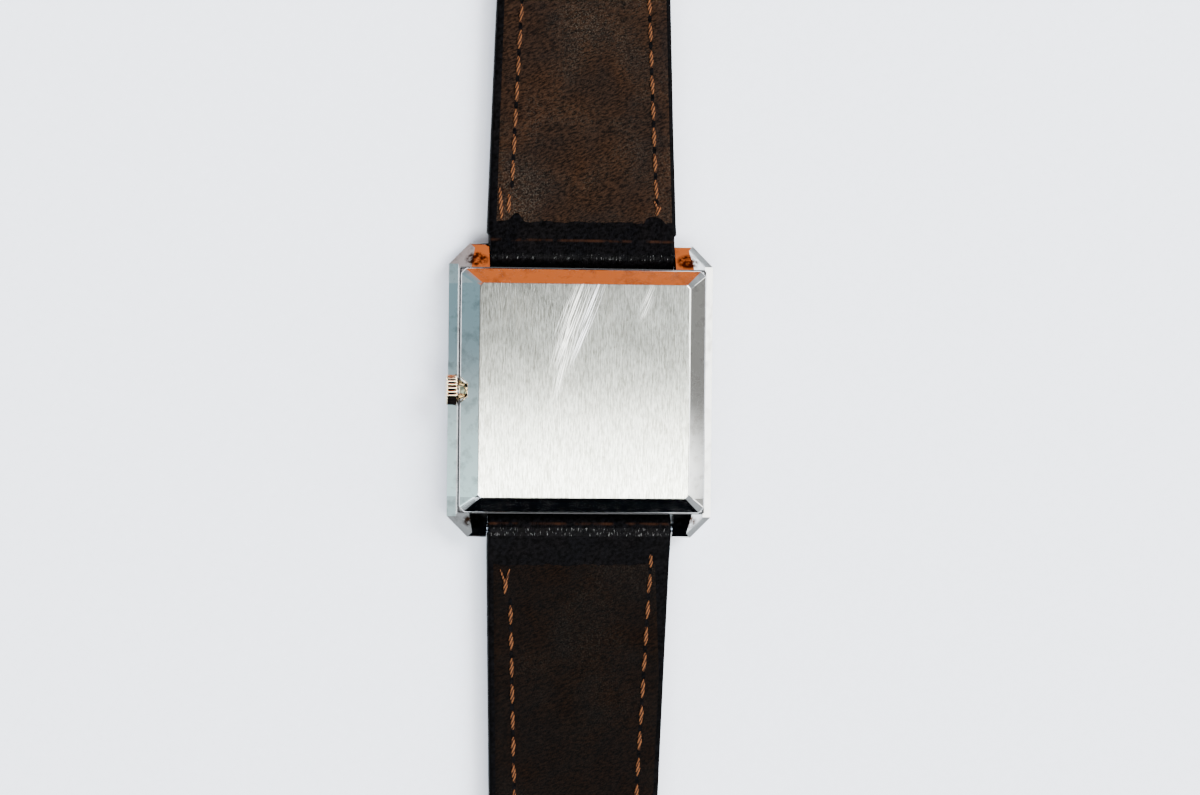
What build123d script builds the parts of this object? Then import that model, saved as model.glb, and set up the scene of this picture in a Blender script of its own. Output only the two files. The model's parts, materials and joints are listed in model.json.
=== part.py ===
from build123d import *
from math import acos, atan2, cos, degrees, hypot, radians, sin, sqrt
import os

# A rectangular wristwatch on a leather strap, lying face down. Millimetres.
# +Z is up, out of the case back. +Y is towards 12 o'clock. The crown is on the -X side.
# The origin is the centre of the crystal's outer face.

os.makedirs("parts", exist_ok=True)

# Fits and cuts
running_gap = 0.03  # radial play of a shaft in its hole
pivot_gap = 0.05  # radial play of a strap or buckle bar
side_gap = 0.05  # play of a plate in its pocket
overrun = 1.0  # how far a cut runs past the face that it opens
small_radius = 1.3  # up to here the movement's round outlines are many-sided
small_sides = 12
spiral_sides = 12

# Case
case_width = 25.6
case_length = 28.2
corner_cut = 2.0
lug_gap = 18.0
crystal_proud = 0.15
bezel_side = 1.5  # how far the front bevel runs in, at the sides and at the ends
bezel_end = 2.65
bezel_cut = 1.4
front_bevel_height = 1.05
girdle_height = 0.9
rim_height = 0.5
rim_side = 0.85
rim_end = 0.45
rim_corner = 0.62
seat_side = 1.1  # from the case's side to the seat of the back
seat_end = 2.55
seat_cut = 0.9
seat_height = 1.1
wall_side = 2.3  # from the case's side to the cavity
wall_end = 3.8
cavity_cut = 1.5
neck_wall_cut = 1.2
bezel_width = case_width - 2 * bezel_side
bezel_length = case_length - 2 * bezel_end
seat_width = case_width - 2 * seat_side
seat_length = case_length - 2 * seat_end
cavity_width = case_width - 2 * wall_side
cavity_length = case_length - 2 * wall_end
girdle_z = crystal_proud + front_bevel_height
rim_z = girdle_z + girdle_height
rim_top_z = rim_z + rim_height
seat_z = rim_top_z + seat_height

# The movement fills the cavity, and its plan is drawn on a grid of 97 steps to the radius
movement_room = 0.6
grid_share = 1 / 97
movement_radius = min(cavity_width, cavity_length) / 2 - movement_room
grid = movement_radius * grid_share

# Crystal, dial and hands
bezel_rim_side = 1.4
bezel_rim_end = 1.45
crystal_width = bezel_width - 2 * bezel_rim_side
crystal_length = bezel_length - 2 * bezel_rim_end
crystal_cut = 1.2
crystal_thickness = 1.0
crystal_edge = 0.25
crystal_gasket_wall = 0.3
crystal_ledge = 0.5
opening_width = crystal_width - 2 * crystal_ledge
opening_length = crystal_length - 2 * crystal_ledge
opening_reach = min(opening_width, opening_length) / 2
opening_cut = 1.0
hand_room = 0.85
dial_thickness = 0.4
dial_hole_radius = 8.5 * grid
dial_foot_radius = 3.5 * grid
dial_foot_length = 0.6
dial_foot_reach = 87 * grid
marker_length = 1.5
marker_width = 0.36
marker_height = 0.15
marker_margin = 1.8  # from the middle of a marker to the edge of the opening
marker_reach = opening_reach - marker_margin
hand_thickness = 0.1
minute_hand_gap = 0.2
hour_hand_gap = 0.48
minute_hand_margin = 1.6
hour_hand_step = 2.5  # how much shorter the hour hand is
minute_hand_length = opening_reach - minute_hand_margin
hour_hand_length = minute_hand_length - hour_hand_step
hand_width = 0.7
hand_tail = 1.6
minute_hand_turn = 60.0
hour_hand_turn = 305.0
dial_z = crystal_thickness + hand_room

# Movement: main levels, upwards from the dial's back
plate_thickness = 1.0
movement_thickness = 2.5
barrel_bridge_thickness = 0.55
train_bridge_thickness = 0.9
cock_thickness = 0.35
dial_recess_depth = 0.4
plate_z = dial_z + dial_thickness
plate_top_z = plate_z + plate_thickness
movement_top_z = plate_z + movement_thickness
barrel_bridge_z = movement_top_z - barrel_bridge_thickness
train_bridge_z = movement_top_z - train_bridge_thickness
cock_z = movement_top_z - cock_thickness
recess_z = plate_z + dial_recess_depth
ring_height = 1.65
ring_gap = 0.05

# Case back, snapped over the neck of the case
back_overhang = 0.1  # over the edge of its seat
back_cut = 0.5
back_bevel_side = 1.7
back_bevel_end = 1.425
back_flat_cut = 0.35
back_edge = 0.65  # of upright wall, below the bevels
back_wall = 0.65
back_thickness = 0.65
back_room = 0.2
neck_height = 0.42
neck_gap = 0.1
back_gasket_wall = 0.17
back_gasket_height = 0.25
notch_outer = 1.2
notch_inner = 0.62
back_width = seat_width + 2 * back_overhang
back_length = seat_length + 2 * back_overhang
back_flat_width = back_width - 2 * back_bevel_side
back_flat_length = back_length - 2 * back_bevel_end
back_top_z = movement_top_z + back_room + back_thickness
back_inner_z = back_top_z - back_thickness
neck_top_z = seat_z + neck_height
back_inner_width = back_width - 2 * back_wall
back_inner_length = back_length - 2 * back_wall
lip_width = back_inner_width - 2 * neck_gap
lip_length = back_inner_length - 2 * neck_gap
back_slope_share = 0.35  # how far the inside has closed in at its top, of the outside's bevel

# Crown, its tube and the winding stem
stem_height = 0.95  # of the stem's axis over the main plate's dial side
stem_z = plate_z + stem_height
crown_radius = 1.45
crown_length = 1.03
crown_standoff = 0.28  # of the crown's outer face from the case's side
crown_flutes = 24
flute_depth = 0.13
crown_round = 0.2
crown_recess_gap = 0.2
crown_recess_depth = 0.8
tube_flange_radius = 1.1
tube_radius = 0.75
tube_cone_length = 0.8
stem_radius = 0.5
stem_thread_radius = 0.45
crown_gasket_radius = 0.8
crown_gasket_length = 0.4
crown_pull = 0.6
crown_outer_x = -case_width / 2 - crown_standoff
crown_inner_x = crown_outer_x + crown_length
recess_x = -case_width / 2 + crown_recess_depth
tube_x = recess_x + side_gap * 2
tube_cone_x = tube_x + tube_cone_length
tube_end_x = -cavity_width / 2

# Teeth, as shares of the module above and below the pitch circle
tooth_top_share = 0.9
tooth_root_share = 1.3

# Going train: teeth and modules
barrel_teeth, centre_leaves = 72, 12
centre_teeth, third_leaves = 64, 8
third_teeth, fourth_leaves = 60, 8
fourth_teeth, escape_leaves = 70, 7
cannon_leaves, minute_teeth = 12, 36
minute_leaves, hour_teeth = 10, 40
winding_leaves, crown_wheel_teeth, ratchet_teeth = 12, 26, 48
setting_teeth = 14
escape_teeth = 15
barrel_module = 1.15 * grid
centre_module = 0.85 * grid
third_module = 0.8 * grid
fourth_module = 0.7 * grid
cannon_module = 1.0 * grid
winding_module = 1.4 * grid
escape_radius = 14.5 * grid
escape_root_radius = 11.2 * grid
third_bearing = -10.0
fourth_bearing = -71.0
escape_bearing = -119.0
balance_bearing = 186.0
minute_bearing = 200.0
escape_to_balance = 41.7 * grid
pallet_span = 30.0  # each pallet stone stands this far round the escape wheel


def mesh_distance(teeth, leaves, module):
    """The distance between two meshing wheels' centres."""
    return (teeth + leaves) * module / 2


def from_point(place, bearing, distance):
    """The point at a bearing in degrees and a distance from a place."""
    return (
        place[0] + distance * cos(radians(bearing)),
        place[1] + distance * sin(radians(bearing)),
    )


def bearing_of(place, other):
    """The bearing in degrees from one place to another."""
    return degrees(atan2(other[1] - place[1], other[0] - place[0]))


def crossing(first, first_reach, second, second_reach):
    """The point at a reach from each of two places, on the left of the line from first to second."""
    between = hypot(second[0] - first[0], second[1] - first[1])
    along = (first_reach**2 - second_reach**2 + between**2) / (2 * between)
    aside = sqrt(first_reach**2 - along**2)
    turn = bearing_of(first, second)
    return from_point(from_point(first, turn, along), turn + 90, aside)


crown_wheel_reach = 54 * grid  # from the movement's centre, over the stem
minute_module = 2 * mesh_distance(minute_teeth, cannon_leaves, cannon_module) / (
    minute_leaves + hour_teeth
)
centre_at = (0, 0)
crown_wheel_at = (-crown_wheel_reach, 0)
barrel_at = crossing(
    crown_wheel_at,
    mesh_distance(crown_wheel_teeth, ratchet_teeth, winding_module),
    centre_at,
    mesh_distance(barrel_teeth, centre_leaves, barrel_module),
)
third_at = from_point(
    centre_at, third_bearing, mesh_distance(centre_teeth, third_leaves, centre_module)
)
fourth_at = from_point(
    third_at, fourth_bearing, mesh_distance(third_teeth, fourth_leaves, third_module)
)
escape_at = from_point(
    fourth_at, escape_bearing, mesh_distance(fourth_teeth, escape_leaves, fourth_module)
)
balance_at = from_point(escape_at, balance_bearing, escape_to_balance)
pallet_at = from_point(
    escape_at, balance_bearing, escape_radius / cos(radians(pallet_span))
)
minute_at = from_point(
    centre_at, minute_bearing, mesh_distance(minute_teeth, cannon_leaves, cannon_module)
)
setting_reach = mesh_distance(minute_teeth, setting_teeth, cannon_module)
setting_at = (minute_at[0] - sqrt(setting_reach**2 - minute_at[1] ** 2), 0)

# Levels of the wheels over the main plate's dial side, and how thick they are
wheel_thickness = 0.12
barrel_rise = 0.85
barrel_z = plate_z + barrel_rise
barrel_height = 0.75
barrel_rim_height = 0.25
barrel_drum_radius = 39.5 * grid
barrel_wall = 2.5 * grid
barrel_floor = 0.15
barrel_lid = 0.13
arbor_core_radius = 12 * grid
arbor_pivot_radius = 5 * grid
ratchet_rise = 1.67
ratchet_z = plate_z + ratchet_rise
ratchet_thickness = 0.2
centre_wheel_rise = 0.7
centre_wheel_z = plate_z + centre_wheel_rise
centre_pinion_rise = 0.87
centre_pinion_z = plate_z + centre_pinion_rise
centre_pinion_height = 0.4
centre_arbor_radius = 2.5 * grid
third_pinion_rise = 0.64
third_pinion_z = plate_z + third_pinion_rise
third_wheel_rise = 1.3
third_wheel_z = plate_z + third_wheel_rise
fourth_wheel_rise = 0.87
fourth_wheel_z = plate_z + fourth_wheel_rise
fourth_pinion_rise = 1.25
fourth_pinion_z = plate_z + fourth_pinion_rise
escape_pinion_rise = 0.81
escape_pinion_z = plate_z + escape_pinion_rise
escape_wheel_rise = 1.1
escape_wheel_z = plate_z + escape_wheel_rise
train_pinion_height = 0.2
arbor_radius = 1.2 * grid
arbor_foot = 0.15  # of an arbor's end over the main plate's dial side
arbor_top = 1.85
train_end_gap = 0.05
jewel_radius = 5 * grid
jewel_thickness = 0.25
window_count = 4
window_width_share = 0.68

# Balance and lever
balance_radius = 32 * grid
balance_rim = 3 * grid
balance_height = 0.3
balance_arm_width = 5 * grid
balance_hub_radius = 5 * grid
balance_rise = 1.5
balance_z = plate_z + balance_rise
staff_radius = 1.5 * grid
roller_radius = 6.2 * grid
roller_height = 0.1
roller_rise = 1.3
roller_z = plate_z + roller_rise
impulse_reach = 5 * grid
impulse_radius = 0.8 * grid
impulse_length = 0.22
lever_z = escape_wheel_z
stone_length = 4.5 * grid
stone_width = 2 * grid
stone_gap = 0.2 * grid
lever_arm_width = 3 * grid
lever_notch = 2.5 * grid
lever_horn = 4.2 * grid
lever_notch_depth = 4.2 * grid
pallet_bridge_rise = 1.31
pallet_bridge_z = plate_z + pallet_bridge_rise
pallet_bridge_thickness = 0.14
pallet_foot_radius = 5.5 * grid
pallet_foot_right = 13 * grid
pallet_foot_down = 20 * grid
pallet_foot_at = (pallet_at[0] + pallet_foot_right, pallet_at[1] - pallet_foot_down)
pallet_screw_radius = 4.2 * grid
hairspring_rise = 1.9
hairspring_z = plate_z + hairspring_rise
hairspring_inner = 4.5 * grid
hairspring_pitch = 3 * grid
hairspring_turns = 5
hairspring_wire = 0.6 * grid
hairspring_height = 0.12
mainspring_turns = 4
mainspring_strip = 1.2 * grid

# Bridges, their feet and screws
bridge_margin = 3 * grid
centre_room = 14 * grid  # from the centre arbor to the barrel bridge's edge
barrel_feet = ((-83 * grid, 33 * grid), (36 * grid, 76 * grid), (19.5 * grid, 22.5 * grid))
train_feet = ((79 * grid, 20 * grid), (69 * grid, -53 * grid), (54 * grid, 59 * grid))
foot_radius = 6.2 * grid
centre_foot_radius = 4 * grid
cock_foot_at = (-66 * grid, -50 * grid)
cock_foot_radius = 11 * grid
cock_end_radius = 10 * grid
stud_radius = 1.5 * grid
screw_head_radius = 6 * grid
screw_head_height = 0.22
screw_slot = 1.4 * grid

# Keyless work
winding_pinion_radius = 0.9
winding_pinion_x = -79 * grid
winding_pinion_length = 7.8 * grid
winding_collar_length = 1.4 * grid
sliding_pinion_radius = 0.65
sliding_groove_radius = 0.56
sliding_groove_width = 3 * grid
sliding_pinion_length = 10.5 * grid
sliding_shift = 0.45
stem_square = 0.66
stem_pilot_radius = 0.25
stem_groove_radius = 0.3
stem_groove_width = 3.4 * grid
stem_groove_x = -84.5 * grid
pilot_end_x = -46.5 * grid
pilot_block_half = 0.45
pilot_block_top = 1.5
stem_block_x = -95.5 * grid
stem_block_half = 1.3
pinion_slot_half = 0.98
lever_level_rise = 0.07
lever_level_z = plate_z + lever_level_rise
lever_thickness = 0.2
lever_pin_radius = 1.2 * grid
setting_pivot = (stem_groove_x - crown_pull / 2, -19 * grid)
sliding_pinion_x = winding_pinion_x + winding_pinion_length + winding_collar_length + side_gap / 2
sliding_groove_x = sliding_pinion_x + sliding_pinion_length / 2
pilot_block_x = sliding_pinion_x + sliding_pinion_length + sliding_shift + side_gap
yoke_pivot = (sliding_groove_x + sliding_shift / 2, -30 * grid)
lever_eye_radius = 4.2 * grid
lever_end_radius = 2.5 * grid
motion_wheel_rise = 0.21
motion_wheel_z = plate_z + motion_wheel_rise
hour_wheel_rise = 0.05
hour_wheel_z = plate_z + hour_wheel_rise
hour_pipe_radius = 7 * grid
cannon_tube_radius = 4.2 * grid
stud_pin_radius = 2.5 * grid
click_pivot = (-69.6 * grid, 46.1 * grid)
click_bearing = 158.0
click_eye_radius = 4.5 * grid
click_tip_radius = 1.2 * grid
click_spring_radius = 0.8 * grid

# Spring bars and strap
spring_bar_inset = 0.95  # from the ends of the lugs
spring_bar_reach = case_length / 2 - spring_bar_inset
spring_bar_z = 1.7
spring_bar_radius = 0.75
spring_bar_length = 17.6
spring_bar_tip_radius = 0.4
spring_bar_tip_length = 1.3
spring_bar_tip_seat = 0.8
spring_bar_travel = 0.9
lug_hole_depth = 1.4
loop_radius = 1.42
skin_thickness = 0.7
wall_width = 0.45
lining_thickness = 0.45
lining_proud = 0.06
flap_length = 3.1
core_start = 1.2
strap_end_width = 16.0
short_strap_length = 72.0
short_loop_width = 17.9
short_body_width = 18.3
keeper_run = 35.0  # of even width, where the keepers sit
short_taper_length = short_strap_length - keeper_run
long_strap_length = 112.0
long_body_width = 17.7
long_taper_length = 32.0
long_filler_length = 46.0
long_filler_skive = 14.0
strap_step = 1.9  # beyond this the strap is wider than the gap between the lugs
hole_count = 7
hole_pitch = 6.5
hole_radius = 0.85
first_hole = 22.0  # from the tip
tip_length = 9.0
keeper_wall = 0.7
keeper_room = 3.7
keeper_width = 4.0
keeper_round = 0.5
keeper_gap = 0.15
fixed_keeper_back = 6.0  # from the buckle's bar to the middle of the keeper
free_keeper_back = 18.0
fixed_keeper_reach = short_strap_length - fixed_keeper_back
free_keeper_reach = short_strap_length - free_keeper_back

# Height of the strap's front and lining faces, at distances from the spring bar
flap_front = 0.12
flap_back = 2.55
settled_reach = 12.0
settled_back = 2.3
keeper_run_front = keeper_wall + side_gap
keeper_run_back = 2.6
thin_reach = 60.0
thin_back = 2.0
tip_back = 1.7
short_strap_run = (
    (flap_length, flap_front, flap_back),
    (settled_reach, 0, settled_back),
    (short_taper_length, keeper_run_front, keeper_run_back),
    (short_strap_length, keeper_run_front, keeper_run_back),
)
long_strap_run = (
    (flap_length, flap_front, flap_back),
    (settled_reach, 0, settled_back),
    (thin_reach, 0, thin_back),
    (long_strap_length, 0, tip_back),
)

# Buckle
buckle_bar_radius = 0.6
buckle_z = 1.675
buckle_end_radius = 0.925
buckle_length = 12.0
buckle_arm_width = 1.5
buckle_arm_gap = 0.1
buckle_thickness = 1.85
buckle_bevel = 0.35
buckle_heel = 1.3
tongue_width = 1.6
tongue_hub_radius = 1.1
tongue_hub_width = 2.0
tongue_slot_width = 2.4
tongue_slot_length = 3.0
tongue_notch_depth = 0.4
tongue_thickness = 0.65
tongue_overhang = 0.15


def save(part, name):
    """Labels a finished piece and writes its STEP file."""
    part.label = name
    export_step(part, f"parts/{name}.step")


def cut_corners(width, length, cut, mode=Mode.ADD):
    """Draws on the open sketch a rectangle whose corners are cut at 45 degrees."""
    across, along = width / 2, length / 2
    Polygon(
        (across, along - cut),
        (across - cut, along),
        (cut - across, along),
        (-across, along - cut),
        (-across, cut - along),
        (cut - across, -along),
        (across - cut, -along),
        (across, cut - along),
        mode=mode,
    )


def cut_block(width, length, cut, low, high, mode=Mode.ADD):
    """Adds or cuts an upright block with its corners cut, between two heights."""
    with BuildSketch(Plane.XY.offset(low)) as outline:
        cut_corners(width, length, cut)
    extrude(outline.sketch, amount=high - low, mode=mode)


def round_outline(radius):
    """Draws a circle, or where it is very small a polygon that is as good and far lighter."""
    if radius > small_radius:
        Circle(radius)
    else:
        RegularPolygon(radius, small_sides)


def disc(place, radius, low, high, mode=Mode.ADD):
    """Adds or cuts an upright cylinder at a place, between two heights."""
    with BuildSketch(Plane.XY.offset(low)) as outline:
        with Locations(place):
            round_outline(radius)
    extrude(outline.sketch, amount=high - low, mode=mode)


def along_stem(x):
    """The plane square to the stem at x, with its origin on the stem's axis."""
    return Plane(origin=(x, 0, stem_z), x_dir=(0, 1, 0), z_dir=(1, 0, 0))


def rod(x, radius, length, mode=Mode.ADD):
    """Adds or cuts a cylinder round the stem's axis, from x towards the movement."""
    with BuildSketch(along_stem(x)) as outline:
        round_outline(radius)
    extrude(outline.sketch, amount=length, mode=mode)


def square_rod(x, side, length, mode=Mode.ADD):
    """Adds or cuts a square bar round the stem's axis, from x towards the movement."""
    with BuildSketch(along_stem(x)) as outline:
        Rectangle(side, side)
    extrude(outline.sketch, amount=length, mode=mode)


def round_points(count, turn, corners):
    """The outline of a wheel: its corners, as (share of a pitch, radius), once for each tooth."""
    pitch = 360 / count
    return [
        (
            radius * cos(radians(turn + (tooth + share) * pitch)),
            radius * sin(radians(turn + (tooth + share) * pitch)),
        )
        for tooth in range(count)
        for share, radius in corners
    ]


def wheel_points(teeth, module, turn):
    """A toothed wheel's outline, with pointed teeth and the first tooth at turn."""
    pitch_radius = teeth * module / 2
    root = pitch_radius - tooth_root_share * module
    tip = pitch_radius + tooth_top_share * module
    return round_points(teeth, turn, ((-1 / 2, root), (0, tip)))


def meshing_turn(place, teeth, turn, other, other_teeth):
    """How far a wheel at other is turned, so that it meshes with the wheel at place."""
    bearing = bearing_of(place, other)
    passed = (turn - bearing) * teeth / 360
    return bearing + 180 + (1 / 2 - passed) * 360 / other_teeth


def toothed(place, low, height, points, hole=0):
    """Adds a toothed disc at a place."""
    with BuildSketch(Plane.XY.offset(low)) as outline:
        with Locations(place):
            Polygon(*points)
            if hole:
                RegularPolygon(hole, small_sides, mode=Mode.SUBTRACT)
    extrude(outline.sketch, amount=height)


def cut_windows(place, low, height, inner, outer, turn):
    """Crosses out a wheel, so that spokes stay between its windows."""
    half = 360 / window_count * window_width_share / 2
    window = [(inner, half / 2), (outer, half), (outer, -half), (inner, -half / 2)]
    with BuildSketch(Plane.XY.offset(low)) as windows:
        for spoke in range(window_count):
            middle = turn + spoke * 360 / window_count
            corners = [from_point(place, middle + angle, reach) for reach, angle in window]
            Polygon(*corners)
    extrude(windows.sketch, amount=height, mode=Mode.SUBTRACT)


def draw_link(first, first_radius, second, second_radius):
    """Draws a link: two round ends joined along their common tangents."""
    bearing = bearing_of(first, second)
    distance = hypot(second[0] - first[0], second[1] - first[1])
    lean = degrees(acos((first_radius - second_radius) / distance))
    for place, radius in ((first, first_radius), (second, second_radius)):
        with Locations(place):
            round_outline(radius)
    Polygon(
        from_point(first, bearing + lean, first_radius),
        from_point(first, bearing - lean, first_radius),
        from_point(second, bearing - lean, second_radius),
        from_point(second, bearing + lean, second_radius),
    )


def link(first, first_radius, second, second_radius, low, height):
    """Adds a flat link with round ends."""
    with BuildSketch(Plane.XY.offset(low)) as outline:
        draw_link(first, first_radius, second, second_radius)
    extrude(outline.sketch, amount=height)


# Turns of the wheels at rest, so that each pair is in mesh
crown_wheel_turn = 180 + 180 / crown_wheel_teeth
ratchet_turn = meshing_turn(
    crown_wheel_at, crown_wheel_teeth, crown_wheel_turn, barrel_at, ratchet_teeth
)
centre_pinion_turn = meshing_turn(barrel_at, barrel_teeth, 0, centre_at, centre_leaves)
third_pinion_turn = meshing_turn(centre_at, centre_teeth, 0, third_at, third_leaves)
fourth_pinion_turn = meshing_turn(third_at, third_teeth, 0, fourth_at, fourth_leaves)
escape_pinion_turn = meshing_turn(fourth_at, fourth_teeth, 0, escape_at, escape_leaves)
minute_wheel_turn = meshing_turn(centre_at, cannon_leaves, 0, minute_at, minute_teeth)
hour_wheel_turn = meshing_turn(minute_at, minute_leaves, 0, centre_at, hour_teeth)
setting_wheel_turn = meshing_turn(
    minute_at, minute_teeth, minute_wheel_turn, setting_at, setting_teeth
)

# Case frame: bezel, middle and lugs in one faceted piece
rim_cut = corner_cut - rim_side - rim_end + rim_corner * sqrt(2)
case_sections = (
    (bezel_width, bezel_length, bezel_cut, crystal_proud),
    (case_width, case_length, corner_cut, girdle_z),
    (case_width, case_length, corner_cut, rim_z),
    (case_width - 2 * rim_side, case_length - 2 * rim_end, rim_cut, rim_top_z),
    (seat_width, seat_length, seat_cut, seat_z),
)
neck_width = lip_width - 2 * back_gasket_wall
neck_length = lip_length - 2 * back_gasket_wall
pocket_width = crystal_width + 2 * crystal_gasket_wall
pocket_length = crystal_length + 2 * crystal_gasket_wall


def crown_tube_outside(mode):
    """Adds or cuts the crown tube's cone and barrel."""
    with BuildSketch(along_stem(tube_x)) as flange:
        Circle(tube_flange_radius)
    with BuildSketch(along_stem(tube_cone_x)) as barrel:
        Circle(tube_radius)
    loft([flange.sketch, barrel.sketch], mode=mode)
    rod(tube_cone_x, tube_radius, tube_end_x - tube_cone_x, mode)


with BuildPart() as case_frame:
    for width, length, cut, height in case_sections:
        with BuildSketch(Plane.XY.offset(height)):
            cut_corners(width, length, cut)
    loft(ruled=True)
    # the neck that the back snaps over, with its lip above the gasket
    cut_block(neck_width, neck_length, neck_wall_cut, seat_z, neck_top_z)
    cut_block(lip_width, lip_length, neck_wall_cut, seat_z + back_gasket_height, neck_top_z)
    # the gap between each pair of lugs
    gap_length = (case_length - seat_length) / 2 + overrun
    with BuildSketch():
        with GridLocations(0, seat_length + gap_length, 1, 2):
            Rectangle(lug_gap, gap_length)
    extrude(amount=seat_z, mode=Mode.SUBTRACT)
    # holes for the spring bars' tips, blind in the lugs
    with BuildSketch(Plane.YZ):
        with Locations((spring_bar_reach, spring_bar_z), (-spring_bar_reach, spring_bar_z)):
            RegularPolygon(spring_bar_tip_radius + running_gap, small_sides)
    extrude(amount=lug_gap / 2 + lug_hole_depth, both=True, mode=Mode.SUBTRACT)
    # crystal pocket, opening over the dial, and the movement's cavity
    cut_block(pocket_width, pocket_length, crystal_cut, 0, crystal_thickness, Mode.SUBTRACT)
    cut_block(opening_width, opening_length, opening_cut, crystal_thickness, dial_z, Mode.SUBTRACT)
    cut_block(cavity_width, cavity_length, cavity_cut, dial_z, neck_top_z, Mode.SUBTRACT)
    # the recess round the crown, and the bore of its tube
    crown_recess_radius = crown_radius + crown_recess_gap
    rod(recess_x - overrun - crown_recess_depth, crown_recess_radius,
        overrun + crown_recess_depth, Mode.SUBTRACT)
    crown_tube_outside(Mode.SUBTRACT)
save(case_frame.part, "case_frame")

# Case back: a faceted pan with a notch at the crown
with BuildPart() as case_back:
    cut_block(back_width, back_length, back_cut, seat_z, seat_z + back_edge)
    with BuildSketch(Plane.XY.offset(seat_z + back_edge)):
        cut_corners(back_width, back_length, back_cut)
    with BuildSketch(Plane.XY.offset(back_top_z)):
        cut_corners(back_flat_width, back_flat_length, back_flat_cut)
    loft(ruled=True)
    cut_block(back_inner_width, back_inner_length, neck_wall_cut, seat_z, neck_top_z, Mode.SUBTRACT)
    inner_slope = (1 - back_slope_share) * (back_width - back_flat_width)
    with BuildSketch(Plane.XY.offset(neck_top_z)):
        cut_corners(back_inner_width, back_inner_length, neck_wall_cut)
    with BuildSketch(Plane.XY.offset(back_inner_z)):
        cut_corners(back_inner_width - inner_slope, back_inner_length - inner_slope, neck_wall_cut)
    loft(ruled=True, mode=Mode.SUBTRACT)
    with BuildSketch(Plane.XY.offset(seat_z)):
        notch_x = -back_width / 2
        notch_end_x = -lip_width / 2 - neck_gap
        Polygon(
            (notch_x, notch_outer),
            (notch_end_x, notch_inner),
            (notch_end_x, -notch_inner),
            (notch_x, -notch_outer),
        )
    extrude(amount=back_top_z - seat_z, mode=Mode.SUBTRACT)
save(case_back.part, "case_back")

with BuildPart() as case_back_gasket:
    cut_block(lip_width, lip_length, neck_wall_cut, seat_z, seat_z + back_gasket_height)
    cut_block(neck_width, neck_length, neck_wall_cut, seat_z, seat_z + back_gasket_height,
              Mode.SUBTRACT)
    rod(tube_x, tube_flange_radius + side_gap, tube_end_x - tube_x, Mode.SUBTRACT)
save(case_back_gasket.part, "case_back_gasket")

with BuildPart() as crystal:
    cut_block(crystal_width, crystal_length, crystal_cut, 0, crystal_thickness)
    chamfer(crystal.faces().sort_by(Axis.Z)[0].edges(), crystal_edge)
save(crystal.part, "crystal")

with BuildPart() as crystal_gasket:
    cut_block(pocket_width, pocket_length, crystal_cut, crystal_proud + crystal_edge,
              crystal_thickness)
    cut_block(crystal_width, crystal_length, crystal_cut, 0, crystal_thickness, Mode.SUBTRACT)
save(crystal_gasket.part, "crystal_gasket")

with BuildPart() as crown_tube:
    crown_tube_outside(Mode.ADD)
    rod(tube_x, stem_radius + running_gap, tube_end_x - tube_x, Mode.SUBTRACT)
    rod(tube_x, crown_gasket_radius, crown_gasket_length, Mode.SUBTRACT)
save(crown_tube.part, "crown_tube")

with BuildPart() as crown_gasket:
    rod(tube_x, crown_gasket_radius, crown_gasket_length)
    rod(tube_x, stem_radius + running_gap, crown_gasket_length, Mode.SUBTRACT)
save(crown_gasket.part, "crown_gasket")


def flute_points(radius):
    """The crown's fluted outline."""
    corners = ((-1 / 2, radius - flute_depth), (-1 / 4, radius), (1 / 4, radius))
    return round_points(crown_flutes, 0, corners)


# Crown: fluted outside, bored for the stem's thread
with BuildPart() as crown:
    for x, radius in ((crown_outer_x, crown_radius - crown_round), (crown_outer_x + crown_round,
                                                                    crown_radius)):
        with BuildSketch(along_stem(x)):
            Polygon(*flute_points(radius))
    loft(ruled=True)
    with BuildSketch(along_stem(crown_outer_x + crown_round)):
        Polygon(*flute_points(crown_radius))
    extrude(amount=crown_length - crown_round)
    stem_end_x = crown_outer_x + crown_round
    rod(stem_end_x, stem_thread_radius, crown_length, Mode.SUBTRACT)
save(crown.part, "crown")

# Winding stem: steps from the crown inwards, each as (where it starts, its radius)
square_x = winding_pinion_x - side_gap * 3
square_end_x = pilot_block_x - side_gap
stem_steps = (
    (stem_end_x, stem_thread_radius),
    (crown_inner_x, stem_radius),
    (stem_groove_x - stem_groove_width / 2, stem_groove_radius),
    (stem_groove_x + stem_groove_width / 2, stem_radius),
    (square_x, stem_pilot_radius),
    (pilot_end_x, 0),
)
with BuildPart() as winding_stem:
    for (x, radius), (next_x, _) in zip(stem_steps, stem_steps[1:]):
        rod(x, radius, next_x - x)
    square_rod(square_x, stem_square, square_end_x - square_x)
save(winding_stem.part, "winding_stem")

# Casing ring between the round movement and the square case
with BuildPart() as casing_ring:
    cut_block(cavity_width - 2 * side_gap, cavity_length - 2 * side_gap, cavity_cut, plate_z,
              plate_z + ring_height)
    disc(centre_at, movement_radius + ring_gap, plate_z, plate_z + ring_height, Mode.SUBTRACT)
    rod(-cavity_width / 2, stem_radius + side_gap, cavity_width / 2, Mode.SUBTRACT)
save(casing_ring.part, "casing_ring")

# Dial with its two feet, and the hour markers
foot_places = [from_point(centre_at, bearing, dial_foot_reach) for bearing in (45, 225)]
with BuildPart() as dial:
    cut_block(cavity_width - 2 * side_gap, cavity_length - 2 * side_gap, cavity_cut, dial_z, plate_z)
    for foot_place in foot_places:
        disc(foot_place, dial_foot_radius, plate_z, plate_z + dial_foot_length)
    disc(centre_at, dial_hole_radius, dial_z, plate_z, Mode.SUBTRACT)
save(dial.part, "dial")

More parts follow.
